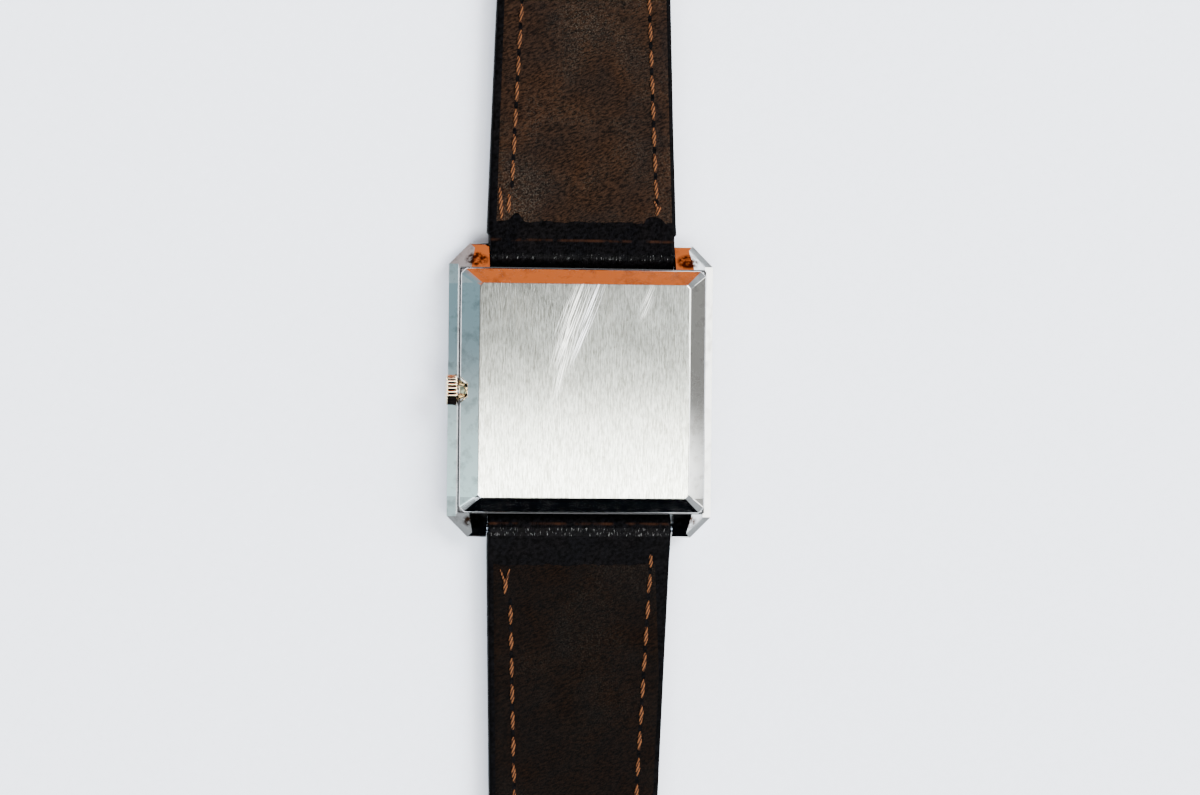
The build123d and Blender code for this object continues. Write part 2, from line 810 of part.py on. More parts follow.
with BuildPart() as dial_markers:
    with BuildSketch(Plane.XY.offset(dial_z - marker_height)):
        for hour in range(12):
            turn = 90 + hour * 30
            reach = marker_reach / max(abs(cos(radians(turn))), abs(sin(radians(turn))))
            with Locations(Location((*from_point(centre_at, turn, reach), 0), turn)):
                Rectangle(marker_length, marker_width * (2 if hour == 0 else 1))
    extrude(amount=marker_height)
save(dial_markers.part, "dial_markers")


def hand(z, length, turn, eye, bore):
    """Adds a tapered baton hand, pointing at a clock angle."""
    bearing = 90 + turn
    with BuildSketch(Plane.XY.offset(z)) as outline:
        Polygon(
            from_point(centre_at, bearing, length),
            from_point(from_point(centre_at, bearing, eye), bearing + 90, hand_width / 2),
            from_point(centre_at, bearing + 180, hand_tail),
            from_point(from_point(centre_at, bearing, eye), bearing - 90, hand_width / 2),
        )
        Circle(eye)
        RegularPolygon(bore, small_sides, mode=Mode.SUBTRACT)
    extrude(outline.sketch, amount=hand_thickness)


hand_eye = hour_pipe_radius + hand_width / 2
minute_hand_z = crystal_thickness + minute_hand_gap
hour_hand_z = crystal_thickness + hour_hand_gap
with BuildPart() as minute_hand:
    hand(minute_hand_z, minute_hand_length, minute_hand_turn, hand_eye * 3 / 4, cannon_tube_radius)
save(minute_hand.part, "minute_hand")

with BuildPart() as hour_hand:
    hand(hour_hand_z, hour_hand_length, hour_hand_turn, hand_eye, hour_pipe_radius)
save(hour_hand.part, "hour_hand")

# Main plate
jewelled = (third_at, fourth_at, escape_at, balance_at)
wheel_room = side_gap * 3
barrel_tip_radius = (barrel_teeth / 2 + tooth_top_share) * barrel_module
centre_tip_radius = (centre_teeth / 2 + tooth_top_share) * centre_module
third_tip_radius = (third_teeth / 2 + tooth_top_share) * third_module
fourth_tip_radius = (fourth_teeth / 2 + tooth_top_share) * fourth_module
hour_tip_radius = (hour_teeth / 2 + tooth_top_share) * minute_module
minute_tip_radius = (minute_teeth / 2 + tooth_top_share) * cannon_module
setting_tip_radius = (setting_teeth / 2 + tooth_top_share) * cannon_module
pinion_slot_start = winding_pinion_x - side_gap * 3
keyless_room = (
    (stem_block_x + side_gap * 2, pinion_slot_half / 2),
    (stem_block_x + side_gap * 2, setting_pivot[1] / 2),
    (setting_pivot[0] - lever_eye_radius, setting_pivot[1] - lever_eye_radius - side_gap),
    (yoke_pivot[0] - lever_eye_radius, yoke_pivot[1] - lever_eye_radius - side_gap),
    (yoke_pivot[0] + lever_eye_radius + side_gap, yoke_pivot[1] - lever_eye_radius - side_gap),
    (yoke_pivot[0] + sliding_shift + lever_end_radius + side_gap, pinion_slot_half / 2),
)
with BuildPart() as main_plate:
    disc(centre_at, movement_radius, plate_z, plate_top_z)
    # the block that the stem runs in
    with BuildSketch(Plane.XY.offset(plate_top_z)):
        with Locations(((stem_block_x + pinion_slot_start) / 2, 0)):
            Rectangle(pinion_slot_start - stem_block_x, 2 * stem_block_half)
    extrude(amount=barrel_bridge_z - plate_top_z)
    # pockets for the wheels
    disc(barrel_at, barrel_tip_radius + wheel_room, barrel_z - side_gap, plate_top_z, Mode.SUBTRACT)
    disc(centre_at, centre_tip_radius + wheel_room, centre_wheel_z - side_gap, plate_top_z,
         Mode.SUBTRACT)
    disc(fourth_at, fourth_tip_radius + wheel_room, fourth_wheel_z - side_gap, plate_top_z,
         Mode.SUBTRACT)
    disc(third_at, jewel_radius, third_pinion_z - side_gap, plate_top_z, Mode.SUBTRACT)
    disc(escape_at, jewel_radius, escape_pinion_z - side_gap, plate_top_z, Mode.SUBTRACT)
    # holes for the arbors and the dial's feet
    for place in jewelled:
        disc(place, staff_radius + running_gap, plate_z, plate_top_z, Mode.SUBTRACT)
    disc(centre_at, centre_arbor_radius + running_gap, plate_z, plate_top_z, Mode.SUBTRACT)
    disc(barrel_at, arbor_pivot_radius + running_gap, recess_z, plate_top_z, Mode.SUBTRACT)
    disc(pallet_at, arbor_radius + running_gap, recess_z, plate_top_z, Mode.SUBTRACT)
    for foot_place in foot_places:
        disc(foot_place, dial_foot_radius + running_gap, plate_z, plate_z + dial_foot_length,
             Mode.SUBTRACT)
    # the dial side's recess for the motion work and the keyless work
    with BuildSketch(Plane.XY.offset(plate_z)):
        Circle(hour_tip_radius + wheel_room)
        with Locations(minute_at):
            Circle(minute_tip_radius + wheel_room)
        with Locations(setting_at):
            Circle(setting_tip_radius + wheel_room)
        Polygon(*keyless_room)
    extrude(amount=dial_recess_depth, mode=Mode.SUBTRACT)
    # studs for the minute wheel, setting wheel, setting lever and yoke
    for place in (minute_at, setting_at, setting_pivot, yoke_pivot):
        disc(place, stud_pin_radius, hour_wheel_z, recess_z)
    # the slot that the two pinions turn in, and the stem's bearings at its ends
    with BuildSketch(Plane.XY.offset(plate_z)):
        with Locations(((pinion_slot_start + pilot_block_x) / 2, 0)):
            Rectangle(pilot_block_x - pinion_slot_start, 2 * pinion_slot_half)
    extrude(amount=barrel_bridge_z - plate_z, mode=Mode.SUBTRACT)
    with BuildSketch(Plane.XY.offset(recess_z)):
        with Locations(((pilot_block_x + pilot_end_x) / 2, 0)):
            Rectangle(pilot_end_x - pilot_block_x, 2 * pilot_block_half)
    extrude(amount=plate_z + pilot_block_top - recess_z)
    rod(pilot_block_x, stem_pilot_radius + running_gap, pilot_end_x - pilot_block_x,
        Mode.SUBTRACT)
    rod(stem_block_x - overrun, stem_radius + running_gap,
        pinion_slot_start - stem_block_x + overrun, Mode.SUBTRACT)
    # the way of the setting lever's pin
    with BuildSketch(Plane.XY.offset(recess_z)):
        with Locations((stem_groove_x - crown_pull / 2, 0)):
            Rectangle(crown_pull + 4 * lever_pin_radius, 4 * lever_pin_radius)
    extrude(amount=stem_z - recess_z, mode=Mode.SUBTRACT)
save(main_plate.part, "main_plate")

# Bridges
bridge_disc_radius = movement_radius - bridge_margin
split_x = centre_at[0] + centre_room
edge = movement_radius
barrel_bridge_edge = (
    (-edge, -stem_block_half),
    (split_x, -stem_block_half),
    (split_x, 0),
    (train_feet[2][0] - screw_head_radius * 5, third_at[1] + third_tip_radius + foot_radius),
    (barrel_feet[1][0] + screw_head_radius * 2, edge),
    (-edge, edge),
)
train_bridge_edge = (
    (split_x + bridge_margin, -stem_block_half),
    (split_x + bridge_margin, 0),
    (train_feet[2][0] - screw_head_radius * 5 + bridge_margin,
     third_at[1] + third_tip_radius + foot_radius),
    (barrel_feet[1][0] + screw_head_radius * 2 + bridge_margin, edge),
    (edge, edge),
    (edge, train_feet[1][1] - screw_head_radius * 2),
    (escape_at[0] + screw_head_radius, escape_at[1] - screw_head_radius),
    (escape_at[0] - screw_head_radius, escape_at[1] - screw_head_radius),
    (escape_at[0] - screw_head_radius, fourth_at[1]),
)


def bridge_blank(corners, low):
    """Adds a bridge's plate: the part of the movement's disc inside the corners."""
    with BuildSketch(Plane.XY.offset(low)) as outline:
        Circle(bridge_disc_radius)
        Polygon(*corners, mode=Mode.INTERSECT)
    extrude(outline.sketch, amount=movement_top_z - low)


def screw_sinks(places):
    """Cuts the sinks for a bridge's screw heads."""
    for place in places:
        disc(place, screw_head_radius, movement_top_z - screw_head_height, movement_top_z,
             Mode.SUBTRACT)


with BuildPart() as barrel_bridge:
    bridge_blank(barrel_bridge_edge, barrel_bridge_z)
    for place in barrel_feet[:2]:
        disc(place, foot_radius, plate_top_z, barrel_bridge_z)
    disc(barrel_feet[2], centre_foot_radius, plate_top_z, barrel_bridge_z)
    disc(crown_wheel_at, arbor_pivot_radius, ratchet_z + side_gap / 2, barrel_bridge_z)
    disc(click_pivot, stud_pin_radius, ratchet_z, barrel_bridge_z)
    disc(barrel_at, arbor_pivot_radius + running_gap, barrel_bridge_z, movement_top_z, Mode.SUBTRACT)
    disc(centre_at, centre_arbor_radius + running_gap, barrel_bridge_z, movement_top_z,
         Mode.SUBTRACT)
    screw_sinks(barrel_feet)
save(barrel_bridge.part, "barrel_bridge")

with BuildPart() as train_bridge:
    bridge_blank(train_bridge_edge, train_bridge_z)
    disc(balance_at, balance_radius + wheel_room, train_bridge_z, movement_top_z, Mode.SUBTRACT)
    for place in train_feet:
        disc(place, foot_radius, plate_top_z, train_bridge_z)
    for place in jewelled[:3]:
        disc(place, jewel_radius, train_bridge_z, movement_top_z, Mode.SUBTRACT)
    screw_sinks(train_feet)
save(train_bridge.part, "train_bridge")

spring_stud_reach = hairspring_inner + hairspring_pitch * hairspring_turns
spring_stud_at = from_point(balance_at, 0, spring_stud_reach)
with BuildPart() as balance_cock:
    link(balance_at, cock_end_radius, cock_foot_at, cock_foot_radius, cock_z, cock_thickness)
    link(balance_at, cock_end_radius, spring_stud_at, stud_radius * 2, cock_z, cock_thickness)
    disc(cock_foot_at, cock_foot_radius, plate_top_z, cock_z)
    disc(spring_stud_at, stud_radius, hairspring_z + hairspring_height, cock_z)
    disc(balance_at, jewel_radius, cock_z, movement_top_z, Mode.SUBTRACT)
    screw_sinks((cock_foot_at,))
save(balance_cock.part, "balance_cock")

with BuildPart() as pallet_bridge:
    link(pallet_at, pallet_foot_radius, pallet_foot_at, pallet_foot_radius, pallet_bridge_z,
         pallet_bridge_thickness)
    disc(pallet_foot_at, pallet_foot_radius, plate_top_z, pallet_bridge_z)
    disc(pallet_at, arbor_radius + running_gap, pallet_bridge_z,
         pallet_bridge_z + pallet_bridge_thickness, Mode.SUBTRACT)
save(pallet_bridge.part, "pallet_bridge")


def screw_head(place, radius, low):
    """Adds a slotted screw head that stands at a height."""
    disc(place, radius, low, low + screw_head_height)
    with BuildSketch(Plane.XY.offset(low + screw_head_height / 2)) as slot:
        with Locations(place):
            Rectangle(2 * radius, screw_slot)
    extrude(slot.sketch, amount=screw_head_height / 2, mode=Mode.SUBTRACT)


with BuildPart() as bridge_screws:
    for place in (*barrel_feet, *train_feet, cock_foot_at):
        screw_head(place, screw_head_radius, movement_top_z - screw_head_height)
    screw_head(pallet_foot_at, pallet_screw_radius, pallet_bridge_z + pallet_bridge_thickness)
save(bridge_screws.part, "bridge_screws")

with BuildPart() as bridge_jewels:
    for place in jewelled:
        upper_z = cock_z if place == balance_at else train_bridge_z
        hole = staff_radius if place == balance_at else arbor_radius
        low = upper_z + train_end_gap
        disc(place, jewel_radius, low, low + jewel_thickness)
        disc(place, hole + running_gap, low, low + jewel_thickness, Mode.SUBTRACT)
save(bridge_jewels.part, "bridge_jewels")


def spiral_band(place, inner, pitch, turns, strip, low, height):
    """Adds a flat spiral strip that widens by one pitch a turn."""
    turned = [step * 360 / spiral_sides for step in range(turns * spiral_sides + 1)]
    reach = [inner + pitch * angle / 360 for angle in turned]
    inside = [from_point(place, angle, radius) for angle, radius in zip(turned, reach)]
    outside = [from_point(place, angle, radius + strip) for angle, radius in zip(turned, reach)]
    with BuildSketch(Plane.XY.offset(low)) as band:
        Polygon(*inside, *reversed(outside))
    extrude(band.sketch, amount=height)


# Barrel, its lid, arbor and mainspring
drum_top_z = barrel_z + barrel_height
cup_z = barrel_z + barrel_floor
with BuildPart() as barrel_drum:
    disc(barrel_at, barrel_drum_radius, barrel_z, drum_top_z)
    toothed(barrel_at, barrel_z, barrel_rim_height, wheel_points(barrel_teeth, barrel_module, 0))
    disc(barrel_at, barrel_drum_radius - barrel_wall, cup_z, drum_top_z, Mode.SUBTRACT)
    disc(barrel_at, arbor_pivot_radius + running_gap, barrel_z, cup_z, Mode.SUBTRACT)
save(barrel_drum.part, "barrel_drum")

with BuildPart() as barrel_cover:
    disc(barrel_at, barrel_drum_radius - barrel_wall, drum_top_z - barrel_lid, drum_top_z)
    disc(barrel_at, arbor_pivot_radius + running_gap, drum_top_z - barrel_lid, drum_top_z,
         Mode.SUBTRACT)
save(barrel_cover.part, "barrel_cover")

spring_high = drum_top_z - barrel_lid - side_gap
with BuildPart() as barrel_arbor:
    disc(barrel_at, arbor_pivot_radius, recess_z + side_gap, movement_top_z - side_gap)
    disc(barrel_at, arbor_core_radius, cup_z + side_gap, spring_high)
save(barrel_arbor.part, "barrel_arbor")

mainspring_room = barrel_drum_radius - barrel_wall - arbor_core_radius
mainspring_pitch = (mainspring_room - mainspring_strip * 3) / mainspring_turns
with BuildPart() as mainspring:
    spiral_band(barrel_at, arbor_core_radius + side_gap + mainspring_pitch / 4, mainspring_pitch,
                mainspring_turns, mainspring_strip, cup_z, spring_high - cup_z)
save(mainspring.part, "mainspring")

# Going train: each wheel is riveted to the pinion on its arbor
arbor_low = plate_z + arbor_foot
arbor_high = plate_z + arbor_top


def train_wheel(place, wheel_z, teeth, module, pinion_z, leaves, pinion_module, pinion_turn):
    """Adds a wheel with spokes, its pinion and their arbor."""
    toothed(place, wheel_z, wheel_thickness, wheel_points(teeth, module, 0))
    cut_windows(place, wheel_z, wheel_thickness, leaves * pinion_module, teeth * module * 2 / 5, 0)
    toothed(place, pinion_z, train_pinion_height, wheel_points(leaves, pinion_module, pinion_turn))
    disc(place, arbor_radius, arbor_low, arbor_high)


with BuildPart() as centre_wheel:
    toothed(centre_at, centre_wheel_z, wheel_thickness, wheel_points(centre_teeth, centre_module, 0))
    cut_windows(centre_at, centre_wheel_z, wheel_thickness, centre_leaves * barrel_module * 3 / 4,
                centre_teeth * centre_module * 2 / 5, 0)
    toothed(centre_at, centre_pinion_z, centre_pinion_height,
            wheel_points(centre_leaves, barrel_module, centre_pinion_turn))
    disc(centre_at, centre_arbor_radius, minute_hand_z, movement_top_z - side_gap)
save(centre_wheel.part, "centre_wheel")

with BuildPart() as third_wheel:
    train_wheel(third_at, third_wheel_z, third_teeth, third_module, third_pinion_z, third_leaves,
                centre_module, third_pinion_turn)
save(third_wheel.part, "third_wheel")

with BuildPart() as fourth_wheel:
    train_wheel(fourth_at, fourth_wheel_z, fourth_teeth, fourth_module, fourth_pinion_z,
                fourth_leaves, third_module, fourth_pinion_turn)
save(fourth_wheel.part, "fourth_wheel")

# Escape wheel: club teeth that lean forward
escape_corners = (
    (-0.05, escape_root_radius),
    (0.32, escape_radius),
    (0.48, escape_radius),
    (0.3, escape_root_radius),
)
with BuildPart() as escape_wheel:
    toothed(escape_at, escape_wheel_z, wheel_thickness,
            round_points(escape_teeth, 0, escape_corners))
    cut_windows(escape_at, escape_wheel_z, wheel_thickness, arbor_radius * 3,
                escape_root_radius * 4 / 5, 0)
    toothed(escape_at, escape_pinion_z, train_pinion_height,
            wheel_points(escape_leaves, fourth_module, escape_pinion_turn))
    disc(escape_at, arbor_radius, arbor_low, arbor_high)
save(escape_wheel.part, "escape_wheel")

# Lever with its two stones, drawn in the middle of its swing
lever_turn = bearing_of(pallet_at, balance_at)
lever_length = escape_to_balance - escape_radius / cos(radians(pallet_span))
horn_reach = lever_length - impulse_reach + lever_notch_depth / 2
stone_reach = escape_radius + stone_gap + stone_length / 2
stone_turns = [balance_bearing + side * pallet_span for side in (1, -1)]
with BuildPart() as pallet_fork:
    with BuildSketch(Plane.XY.offset(lever_z)):
        for stone_turn in stone_turns:
            stone_back = from_point(escape_at, stone_turn, stone_reach + stone_length / 2)
            draw_link(pallet_at, lever_arm_width, stone_back, lever_arm_width / 2)
        with Locations(Location((*from_point(pallet_at, lever_turn, horn_reach / 2), 0), lever_turn)):
            Rectangle(horn_reach, lever_arm_width)
        horn_at = from_point(pallet_at, lever_turn, horn_reach - lever_notch_depth / 2)
        with Locations(Location((*horn_at, 0), lever_turn)):
            Rectangle(lever_notch_depth * 3 / 2, 2 * lever_horn)
        notch_at = from_point(pallet_at, lever_turn, horn_reach)
        with Locations(Location((*notch_at, 0), lever_turn)):
            Rectangle(2 * lever_notch_depth, 2 * lever_notch, mode=Mode.SUBTRACT)
        for stone_turn in stone_turns:
            stone_at = from_point(escape_at, stone_turn, stone_reach)
            with Locations(Location((*stone_at, 0), stone_turn)):
                Rectangle(stone_length, stone_width)
    extrude(amount=wheel_thickness)
    disc(pallet_at, arbor_radius, recess_z + side_gap, pallet_bridge_z + pallet_bridge_thickness)
save(pallet_fork.part, "pallet_fork")

with BuildPart() as balance_wheel:
    with BuildSketch(Plane.XY.offset(balance_z)):
        with Locations(balance_at):
            Circle(balance_radius)
            Circle(balance_radius - balance_rim, mode=Mode.SUBTRACT)
            Rectangle(2 * balance_radius - balance_rim, balance_arm_width)
            RegularPolygon(balance_hub_radius, small_sides)
            RegularPolygon(staff_radius, small_sides, mode=Mode.SUBTRACT)
    extrude(amount=balance_height)
save(balance_wheel.part, "balance_wheel")

staff_top_z = cock_z + train_end_gap + jewel_thickness
impulse_at = from_point(balance_at, lever_turn + 180, impulse_reach)
with BuildPart() as balance_staff:
    disc(balance_at, staff_radius, arbor_low, staff_top_z)
    disc(balance_at, roller_radius, roller_z, roller_z + roller_height)
    disc(balance_at, hairspring_inner - side_gap, hairspring_z, hairspring_z + hairspring_height)
    disc(impulse_at, impulse_radius, roller_z - impulse_length, roller_z)
save(balance_staff.part, "balance_staff")

with BuildPart() as hairspring:
    spiral_band(balance_at, hairspring_inner, hairspring_pitch, hairspring_turns, hairspring_wire,
                hairspring_z, hairspring_height)
save(hairspring.part, "hairspring")

# Motion work
with BuildPart() as cannon_pinion:
    disc(centre_at, cannon_tube_radius, minute_hand_z - side_gap, motion_wheel_z)
    toothed(centre_at, motion_wheel_z, wheel_thickness, wheel_points(cannon_leaves, cannon_module, 0))
    disc(centre_at, centre_arbor_radius, minute_hand_z - side_gap, motion_wheel_z + wheel_thickness,
         Mode.SUBTRACT)
save(cannon_pinion.part, "cannon_pinion")

stud_bore = stud_pin_radius + running_gap
with BuildPart() as minute_wheel:
    toothed(minute_at, motion_wheel_z, wheel_thickness,
            wheel_points(minute_teeth, cannon_module, minute_wheel_turn), stud_bore)
    toothed(minute_at, hour_wheel_z, motion_wheel_z - hour_wheel_z,
            wheel_points(minute_leaves, minute_module, 0), stud_bore)
save(minute_wheel.part, "minute_wheel")

with BuildPart() as hour_wheel:
    toothed(centre_at, hour_wheel_z, wheel_thickness,
            wheel_points(hour_teeth, minute_module, hour_wheel_turn))
    disc(centre_at, hour_pipe_radius, hour_hand_z, hour_wheel_z)
    disc(centre_at, cannon_tube_radius + running_gap, hour_hand_z, hour_wheel_z + wheel_thickness,
         Mode.SUBTRACT)
save(hour_wheel.part, "hour_wheel")

with BuildPart() as setting_wheel:
    toothed(setting_at, motion_wheel_z, wheel_thickness,
            wheel_points(setting_teeth, cannon_module, setting_wheel_turn), stud_bore)
save(setting_wheel.part, "setting_wheel")

# Keyless work: pinions on the stem, crown and ratchet wheels under the barrel bridge
winding_leaf_module = 2 * winding_pinion_radius / (winding_leaves + 2 * tooth_top_share)
pinion_bore = stem_square + 2 * running_gap
with BuildPart() as winding_pinion:
    with BuildSketch(along_stem(winding_pinion_x)):
        Polygon(*wheel_points(winding_leaves, winding_leaf_module, 90))
    extrude(amount=winding_pinion_length)
    rod(winding_pinion_x + winding_pinion_length, sliding_pinion_radius, winding_collar_length)
    square_rod(winding_pinion_x, pinion_bore, winding_pinion_length + winding_collar_length,
               Mode.SUBTRACT)
save(winding_pinion.part, "winding_pinion")

sliding_leaf_module = 2 * sliding_pinion_radius / (winding_leaves + 2 * tooth_top_share)
with BuildPart() as sliding_pinion:
    groove_x = sliding_groove_x - sliding_groove_width / 2
    neck_end_x = groove_x + sliding_groove_width
    for x, end_x in ((sliding_pinion_x, groove_x),
                     (neck_end_x, sliding_pinion_x + sliding_pinion_length)):
        with BuildSketch(along_stem(x)):
            Polygon(*wheel_points(winding_leaves, sliding_leaf_module, 0))
        extrude(amount=end_x - x)
    rod(groove_x, sliding_groove_radius, sliding_groove_width)
    square_rod(sliding_pinion_x, pinion_bore, sliding_pinion_length, Mode.SUBTRACT)
save(sliding_pinion.part, "sliding_pinion")

with BuildPart() as crown_wheel:
    toothed(crown_wheel_at, ratchet_z, ratchet_thickness,
            wheel_points(crown_wheel_teeth, winding_module, crown_wheel_turn),
            arbor_pivot_radius + running_gap)
save(crown_wheel.part, "crown_wheel")

with BuildPart() as ratchet_wheel:
    toothed(barrel_at, ratchet_z, ratchet_thickness,
            wheel_points(ratchet_teeth, winding_module, ratchet_turn), arbor_pivot_radius)
save(ratchet_wheel.part, "ratchet_wheel")

ratchet_tip_radius = (ratchet_teeth / 2 + tooth_top_share) * winding_module
click_tip_at = from_point(barrel_at, click_bearing, ratchet_tip_radius + click_tip_radius + stone_gap)
with BuildPart() as click:
    link(click_pivot, click_eye_radius, click_tip_at, click_tip_radius, ratchet_z,
         ratchet_thickness)
    disc(click_pivot, stud_bore, ratchet_z, ratchet_z + ratchet_thickness, Mode.SUBTRACT)
save(click.part, "click")

# Click spring: a bent wire from its post to the click's back
spring_post_at = from_point(click_pivot, 100, click_eye_radius * 4)
spring_rest_at = from_point(click_tip_at, 100, click_tip_radius + click_spring_radius + side_gap)
with BuildPart() as click_spring:
    link(spring_post_at, click_spring_radius, spring_rest_at, click_spring_radius, ratchet_z,
         ratchet_thickness)
    disc(spring_post_at, click_spring_radius * 2, ratchet_z, barrel_bridge_z)
save(click_spring.part, "click_spring")

with BuildPart() as setting_lever:
    link(setting_pivot, lever_eye_radius, (stem_groove_x, 0), lever_end_radius, lever_level_z,
         lever_thickness)
    disc((stem_groove_x, 0), lever_pin_radius, lever_level_z + lever_thickness,
         stem_z - stem_groove_radius - side_gap)
    disc(setting_pivot, stud_bore, lever_level_z, lever_level_z + lever_thickness, Mode.SUBTRACT)
save(setting_lever.part, "setting_lever")

with BuildPart() as yoke:
    link(yoke_pivot, lever_eye_radius, (sliding_groove_x, 0), lever_end_radius, lever_level_z,
         lever_thickness)
    disc((sliding_groove_x, 0), lever_pin_radius, lever_level_z + lever_thickness,
         stem_z - sliding_groove_radius - running_gap)
    disc(yoke_pivot, stud_bore, lever_level_z, lever_level_z + lever_thickness, Mode.SUBTRACT)
save(yoke.part, "yoke")


# Spring bars: a tube with one fixed tip and one sprung tip
def across(x, y, z):
    """The plane square to X at a point."""
    return Plane(origin=(x, y, z), x_dir=(0, 1, 0), z_dir=(1, 0, 0))


def cross_rod(x, y, z, radius, length, mode=Mode.ADD):
    """Adds or cuts a cylinder that runs along +X from a point."""
    with BuildSketch(across(x, y, z)) as outline:
        round_outline(radius)
    extrude(outline.sketch, amount=length, mode=mode)


tip_bore = spring_bar_tip_radius + running_gap
tip_bore_depth = spring_bar_tip_seat + spring_bar_travel
for hour, bar_y in (("12", spring_bar_reach), ("6", -spring_bar_reach)):
    bar_x = -spring_bar_length / 2
    with BuildPart() as spring_bar:
        cross_rod(bar_x, bar_y, spring_bar_z, spring_bar_radius, spring_bar_length)
        cross_rod(-bar_x, bar_y, spring_bar_z, spring_bar_tip_radius, spring_bar_tip_length)
        cross_rod(bar_x, bar_y, spring_bar_z, tip_bore, tip_bore_depth, Mode.SUBTRACT)
    save(spring_bar.part, f"spring_bar_{hour}")
    with BuildPart() as spring_bar_tip:
        cross_rod(bar_x - spring_bar_tip_length, bar_y, spring_bar_z, spring_bar_tip_radius,
                  spring_bar_tip_length + spring_bar_tip_seat)
    save(spring_bar_tip.part, f"spring_bar_{hour}_tip")


# Strap halves
class StrapHalf:
    """One half of the strap: which side it is on, its run of heights and its outline."""

    def __init__(self, side, run, widths, end_radius, filler_end, skive):
        self.side = side
        self.run = run
        self.length = run[-1][0]
        self.widths = widths
        self.end_radius = end_radius
        self.filler_end = filler_end
        self.skive = skive

    def profile_plane(self):
        """The upright plane along the strap: x outwards from the spring bar, y up."""
        origin = (0, self.side * spring_bar_reach, 0)
        return Plane(origin=origin, x_dir=(0, self.side, 0), z_dir=(self.side, 0, 0))

    def outline(self, inset):
        """The strap seen from above, drawn in by an inset at its sides and its far end."""
        right = [(width / 2 - inset, reach) for reach, width in self.widths]
        last_width, last_reach = right[-1]
        right[-1] = (last_width, last_reach - inset)
        points = right + [(-x, reach) for x, reach in reversed(right)]
        return [(x, self.side * (spring_bar_reach + reach)) for x, reach in points]

    def trim(self, inset):
        """Keeps only what lies inside the outline."""
        with BuildSketch() as plan:
            Polygon(*self.outline(inset))
        extrude(plan.sketch, amount=overrun + spring_bar_z + loop_radius, mode=Mode.INTERSECT)

    def slab(self, first, last, low, high, skive=0):
        """Adds the layer between two heights, each a function of the strap's two faces.

        A skive is the length over which the layer thins to nothing at its far end.
        """
        inner = [station[0] for station in self.run if first < station[0] < last - skive]
        reaches = [first, *inner, last - skive]
        under = [(reach, low(*self.heights_at(reach))) for reach in reaches]
        over = [(reach, high(*self.heights_at(reach))) for reach in reaches]
        if skive:
            under.append((last, low(*self.heights_at(last))))
        with BuildSketch(self.profile_plane()) as layer:
            Polygon(*under, *reversed(over))
        extrude(layer.sketch, amount=short_body_width, both=True)

    def heights_at(self, reach):
        """The heights of the front and the wrist's side at a distance from the spring bar."""
        bar = (0, spring_bar_z - loop_radius, spring_bar_z + loop_radius)
        stations = (bar, *self.run)
        for near, far in zip(stations, stations[1:]):
            if reach <= far[0]:
                break
        share = (reach - near[0]) / (far[0] - near[0])
        return [a + share * (b - a) for a, b in zip(near[1:], far[1:])]


def strap_whole(half):
    """Adds the strap's full thickness, rounded at the spring bar, and at the buckle if it has one."""
    half.slab(0, half.length, front_face, back_face)
    with BuildSketch(half.profile_plane()) as ends:
        with Locations((0, spring_bar_z)):
            Circle(loop_radius)
        if half.end_radius:
            with Locations((half.length, buckle_z)):
                Circle(half.end_radius)
    extrude(ends.sketch, amount=short_body_width, both=True)
    half.trim(0)


def front_face(front, back):
    """The face that shows when the watch is worn."""
    return front


def back_face(front, back):
    """The face on the wrist's side."""
    return back


def skin_front(front, back):
    """Top of the outer leather that lies against the filler."""
    return front + skin_thickness


def lining_low(front, back):
    """Height at which the lining lies on the filler."""
    return back - lining_thickness


def lining_high(front, back):
    """The lining's own face, a little proud of the turned edges."""
    return back + lining_proud


def cut_openings(half):
    """Cuts the bores for the bars, the tongue's slot and the punched holes."""
    bars = [(0, spring_bar_z, spring_bar_radius)]
    if half.end_radius:
        bars.append((half.length, buckle_z, buckle_bar_radius))
    for reach, height, radius in bars:
        with BuildSketch(half.profile_plane()) as bore:
            with Locations((reach, height)):
                round_outline(radius + pivot_gap)
        extrude(bore.sketch, amount=short_body_width, both=True, mode=Mode.SUBTRACT)
    with BuildSketch() as holes:
        if half.end_radius:
            slot_y = half.side * (spring_bar_reach + half.length)
            with Locations((0, slot_y - tongue_slot_length / 2 + half.end_radius)):
                Rectangle(tongue_slot_width, tongue_slot_length + 2 * half.end_radius)
        else:
            tip_y = spring_bar_reach + half.length
            for hole in range(hole_count):
                with Locations((0, half.side * (tip_y - first_hole - hole * hole_pitch))):
                    round_outline(hole_radius)
    extrude(holes.sketch, amount=overrun + spring_bar_z + loop_radius, mode=Mode.SUBTRACT)


def clear_of_loop(half):
    """Cuts a layer back where the skin loops round the buckle's bar."""
    with BuildSketch(half.profile_plane()) as loop:
        with Locations((half.length, buckle_z)):
            Circle(half.end_radius)
    extrude(loop.sketch, amount=short_body_width, both=True, mode=Mode.SUBTRACT)


def build_strap(half, hour):
    """Writes the outer leather, filler and lining of one half."""
    with BuildPart() as filler:
        half.slab(core_start, half.filler_end, skin_front, lining_low, half.skive)
        half.trim(wall_width)
        if half.end_radius:
            clear_of_loop(half)
        cut_openings(half)
    with BuildPart() as lining:
        half.slab(flap_length, half.length, lining_low, lining_high)
        half.trim(wall_width)
        if half.end_radius:
            clear_of_loop(half)
        cut_openings(half)
    with BuildPart() as outer:
        strap_whole(half)
        add(filler.part, mode=Mode.SUBTRACT)
        add(lining.part, mode=Mode.SUBTRACT)
        cut_openings(half)
    save(outer.part, f"strap_{hour}_outer")
    save(filler.part, f"strap_{hour}_filler")
    save(lining.part, f"strap_{hour}_lining")


